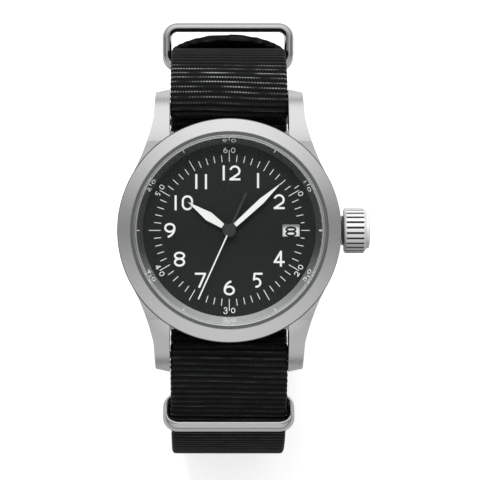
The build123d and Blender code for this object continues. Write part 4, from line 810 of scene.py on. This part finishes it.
# Painted glints: bright dotted flecks along the rib crests, in patches, strongest on the stretch of band
# that faces the 12 o'clock light.
line = ramp(tree, crest, (0.93, 0.985))
kept = add(
    tree, "ShaderNodeTexWhiteNoise", {"W": value(tree, "FLOOR", rib)}, noise_dimensions="1D"
).outputs["Value"]
dots = ramp(
    tree, strand, (0.3, 0.85), (value(tree, "MULTIPLY", value(tree, "GREATER_THAN", kept, 0.75), 0.5), 1.0)
)
painted_light_tone = ramp(tree, patch, (0.4, 0.62))
spot = add(tree, "ShaderNodeSeparateXYZ", {0: place}).outputs[1]
near = ramp(tree, spot, (0.0222, 0.0256), (0.16, 1.0))
far = ramp(tree, spot, (0.0286, 0.03), (1.0, 0.05))
facing = value(tree, "MULTIPLY", near, far)
glint = value(tree, "MULTIPLY", value(tree, "MULTIPLY", value(tree, "MULTIPLY", line, dots), painted_light_tone), facing)
lit = blend(tree, glint, tint, (0.4, 0.41, 0.41, 1))
tree.links.new(lit, surface.inputs["Base Color"])
wear(tree, surface, fuzz, "Roughness", 0.3, 0.55)
raise_bump(tree, surface, value(tree, "ADD", weave, value(tree, "MULTIPLY", fuzz, 0.5)), 0.00012)

band_start = (0.027273, 0.012911)
band_heading = 212.0
band_runs = [
    (0.006,), (0.00145, 190.0), (0.026375, 48.0), (0.0197, 60.0), (0.0016, 120.0), (0.0019,),
    (0.0016, -90.0), (0.0376,), (0.0016, -90.0), (0.0019,), (0.0016, 115.0), (0.031649, 65.0),
    (0.014816, 90.0), (0.03618,), (0.02218, 42.0), (0.027825, 28.0), (0.0089,),
]
band_route = walk(band_start, band_heading, band_runs, aside=face)
outline = outline_of(0.0207, webbing_thickness, "band_outline")
band = formed(
    webbing,
    curve_of("band_route", band_route),
    {"Outline": outline, "Finish": nylon, "Tip Depth": 0.0055},
    "woven_band",
)
middle = curve_of("middle_route", walk(band_start, band_heading, band_runs))
band = formed(punch, band, {"Route": middle, "Finish": nylon}, "strap_band")
bpy.data.objects.remove(middle)
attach(band, "watch")
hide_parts("main_band")
bpy.data.objects.remove(outline)

# Retaining flap: a second, slightly narrower length of the same webbing under the head.
# It is sewn into the strap behind 12 o'clock and folded round its own ring behind 6 o'clock.
flap_start = (0.0312838, 0.026125)
flap_heading = 87.939
flap_runs = [(0.025025, 2.061), (0.010725, 90.0), (0.040575,), (0.0291365, 22.075), (0.002, 190.0), (0.006,)]
flap_route = walk(flap_start, flap_heading, flap_runs, aside=-face)
outline = outline_of(0.0176, webbing_thickness, "flap_outline")
flap = formed(
    webbing,
    curve_of("flap_route", flap_route),
    {"Outline": outline, "Finish": nylon, "Edge": 0.0083},
    "strap_flap",
)
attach(flap, "watch")
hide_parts("retaining_flap")
bpy.data.objects.remove(outline)

# Stitching: rows of black thread that sew the strap's folded end and both ends of the flap.
# Each stitch is a short length of thread lying on the webbing.
sewing, given, result = geometry(
    "sewn_rows",
    [
        ("Finish", "NodeSocketMaterial", None),
        ("Stitch Pitch", "NodeSocketFloat", 0.0015),
        ("Stitch Length", "NodeSocketFloat", 0.00115),
        ("Thread Width", "NodeSocketFloat", 0.00032),
        ("Thread Height", "NodeSocketFloat", 0.0002),
    ],
)
even = add(
    sewing,
    "GeometryNodeResampleCurve",
    {"Curve": given.outputs["Geometry"], "Length": given.outputs["Stitch Pitch"]},
    mode="LENGTH",
)
bead = add(sewing, "GeometryNodeMeshUVSphere", {"Segments": 12, "Rings": 8, "Radius": 0.5})
lie = add(
    sewing,
    "FunctionNodeAlignRotationToVector",
    {"Vector": add(sewing, "GeometryNodeInputTangent").outputs[0]},
    axis="X",
)
size = add(
    sewing,
    "ShaderNodeCombineXYZ",
    {0: given.outputs["Stitch Length"], 1: given.outputs["Thread Width"], 2: given.outputs["Thread Height"]},
)
beads = add(
    sewing,
    "GeometryNodeInstanceOnPoints",
    {
        "Points": even.outputs[0],
        "Instance": bead.outputs[0],
        "Rotation": lie.outputs[0],
        "Scale": size.outputs[0],
    },
)
solid = add(sewing, "GeometryNodeRealizeInstances", {"Geometry": beads.outputs[0]})
soft = add(sewing, "GeometryNodeSetShadeSmooth", {"Geometry": solid.outputs[0]})
dyed = add(
    sewing, "GeometryNodeSetMaterial", {"Geometry": soft.outputs[0], "Material": given.outputs["Finish"]}
)
sewing.links.new(dyed.outputs[0], result.inputs["Geometry"])
thread_black, tree, surface, place = finish("black_thread", Specular_IOR_Level=0.2)
twist = noise(tree, place, 6000.0, 3.0)
tint = blend(tree, twist, (0.006, 0.006, 0.007, 1), (0.035, 0.036, 0.037, 1))
tree.links.new(tint, surface.inputs["Base Color"])
wear(tree, surface, twist, "Roughness", 0.5, 0.75)
root_route = walk(flap_start, flap_heading, [(0.025025, 2.061), (0.010725, 8.0)], aside=-face)
fold_route = walk(flap_start, flap_heading, flap_runs, aside=face)
for name, near, far, half in (
    ("seam_buckle_fold", band_route[4], band_route[26], 0.0086),
    ("seam_flap_fold", fold_route[-5], fold_route[-27], 0.0075),
    ("seam_flap_root", root_route[2], root_route[-1], 0.0075),
):
    corners = [
        (-half, near[1], near[2]), (half, near[1], near[2]), (half, far[1], far[2]), (-half, far[1], far[2])
    ]
    seam = formed(sewing, curve_of(name, corners, closed=True), {"Finish": thread_black}, name)
    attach(seam, "watch")
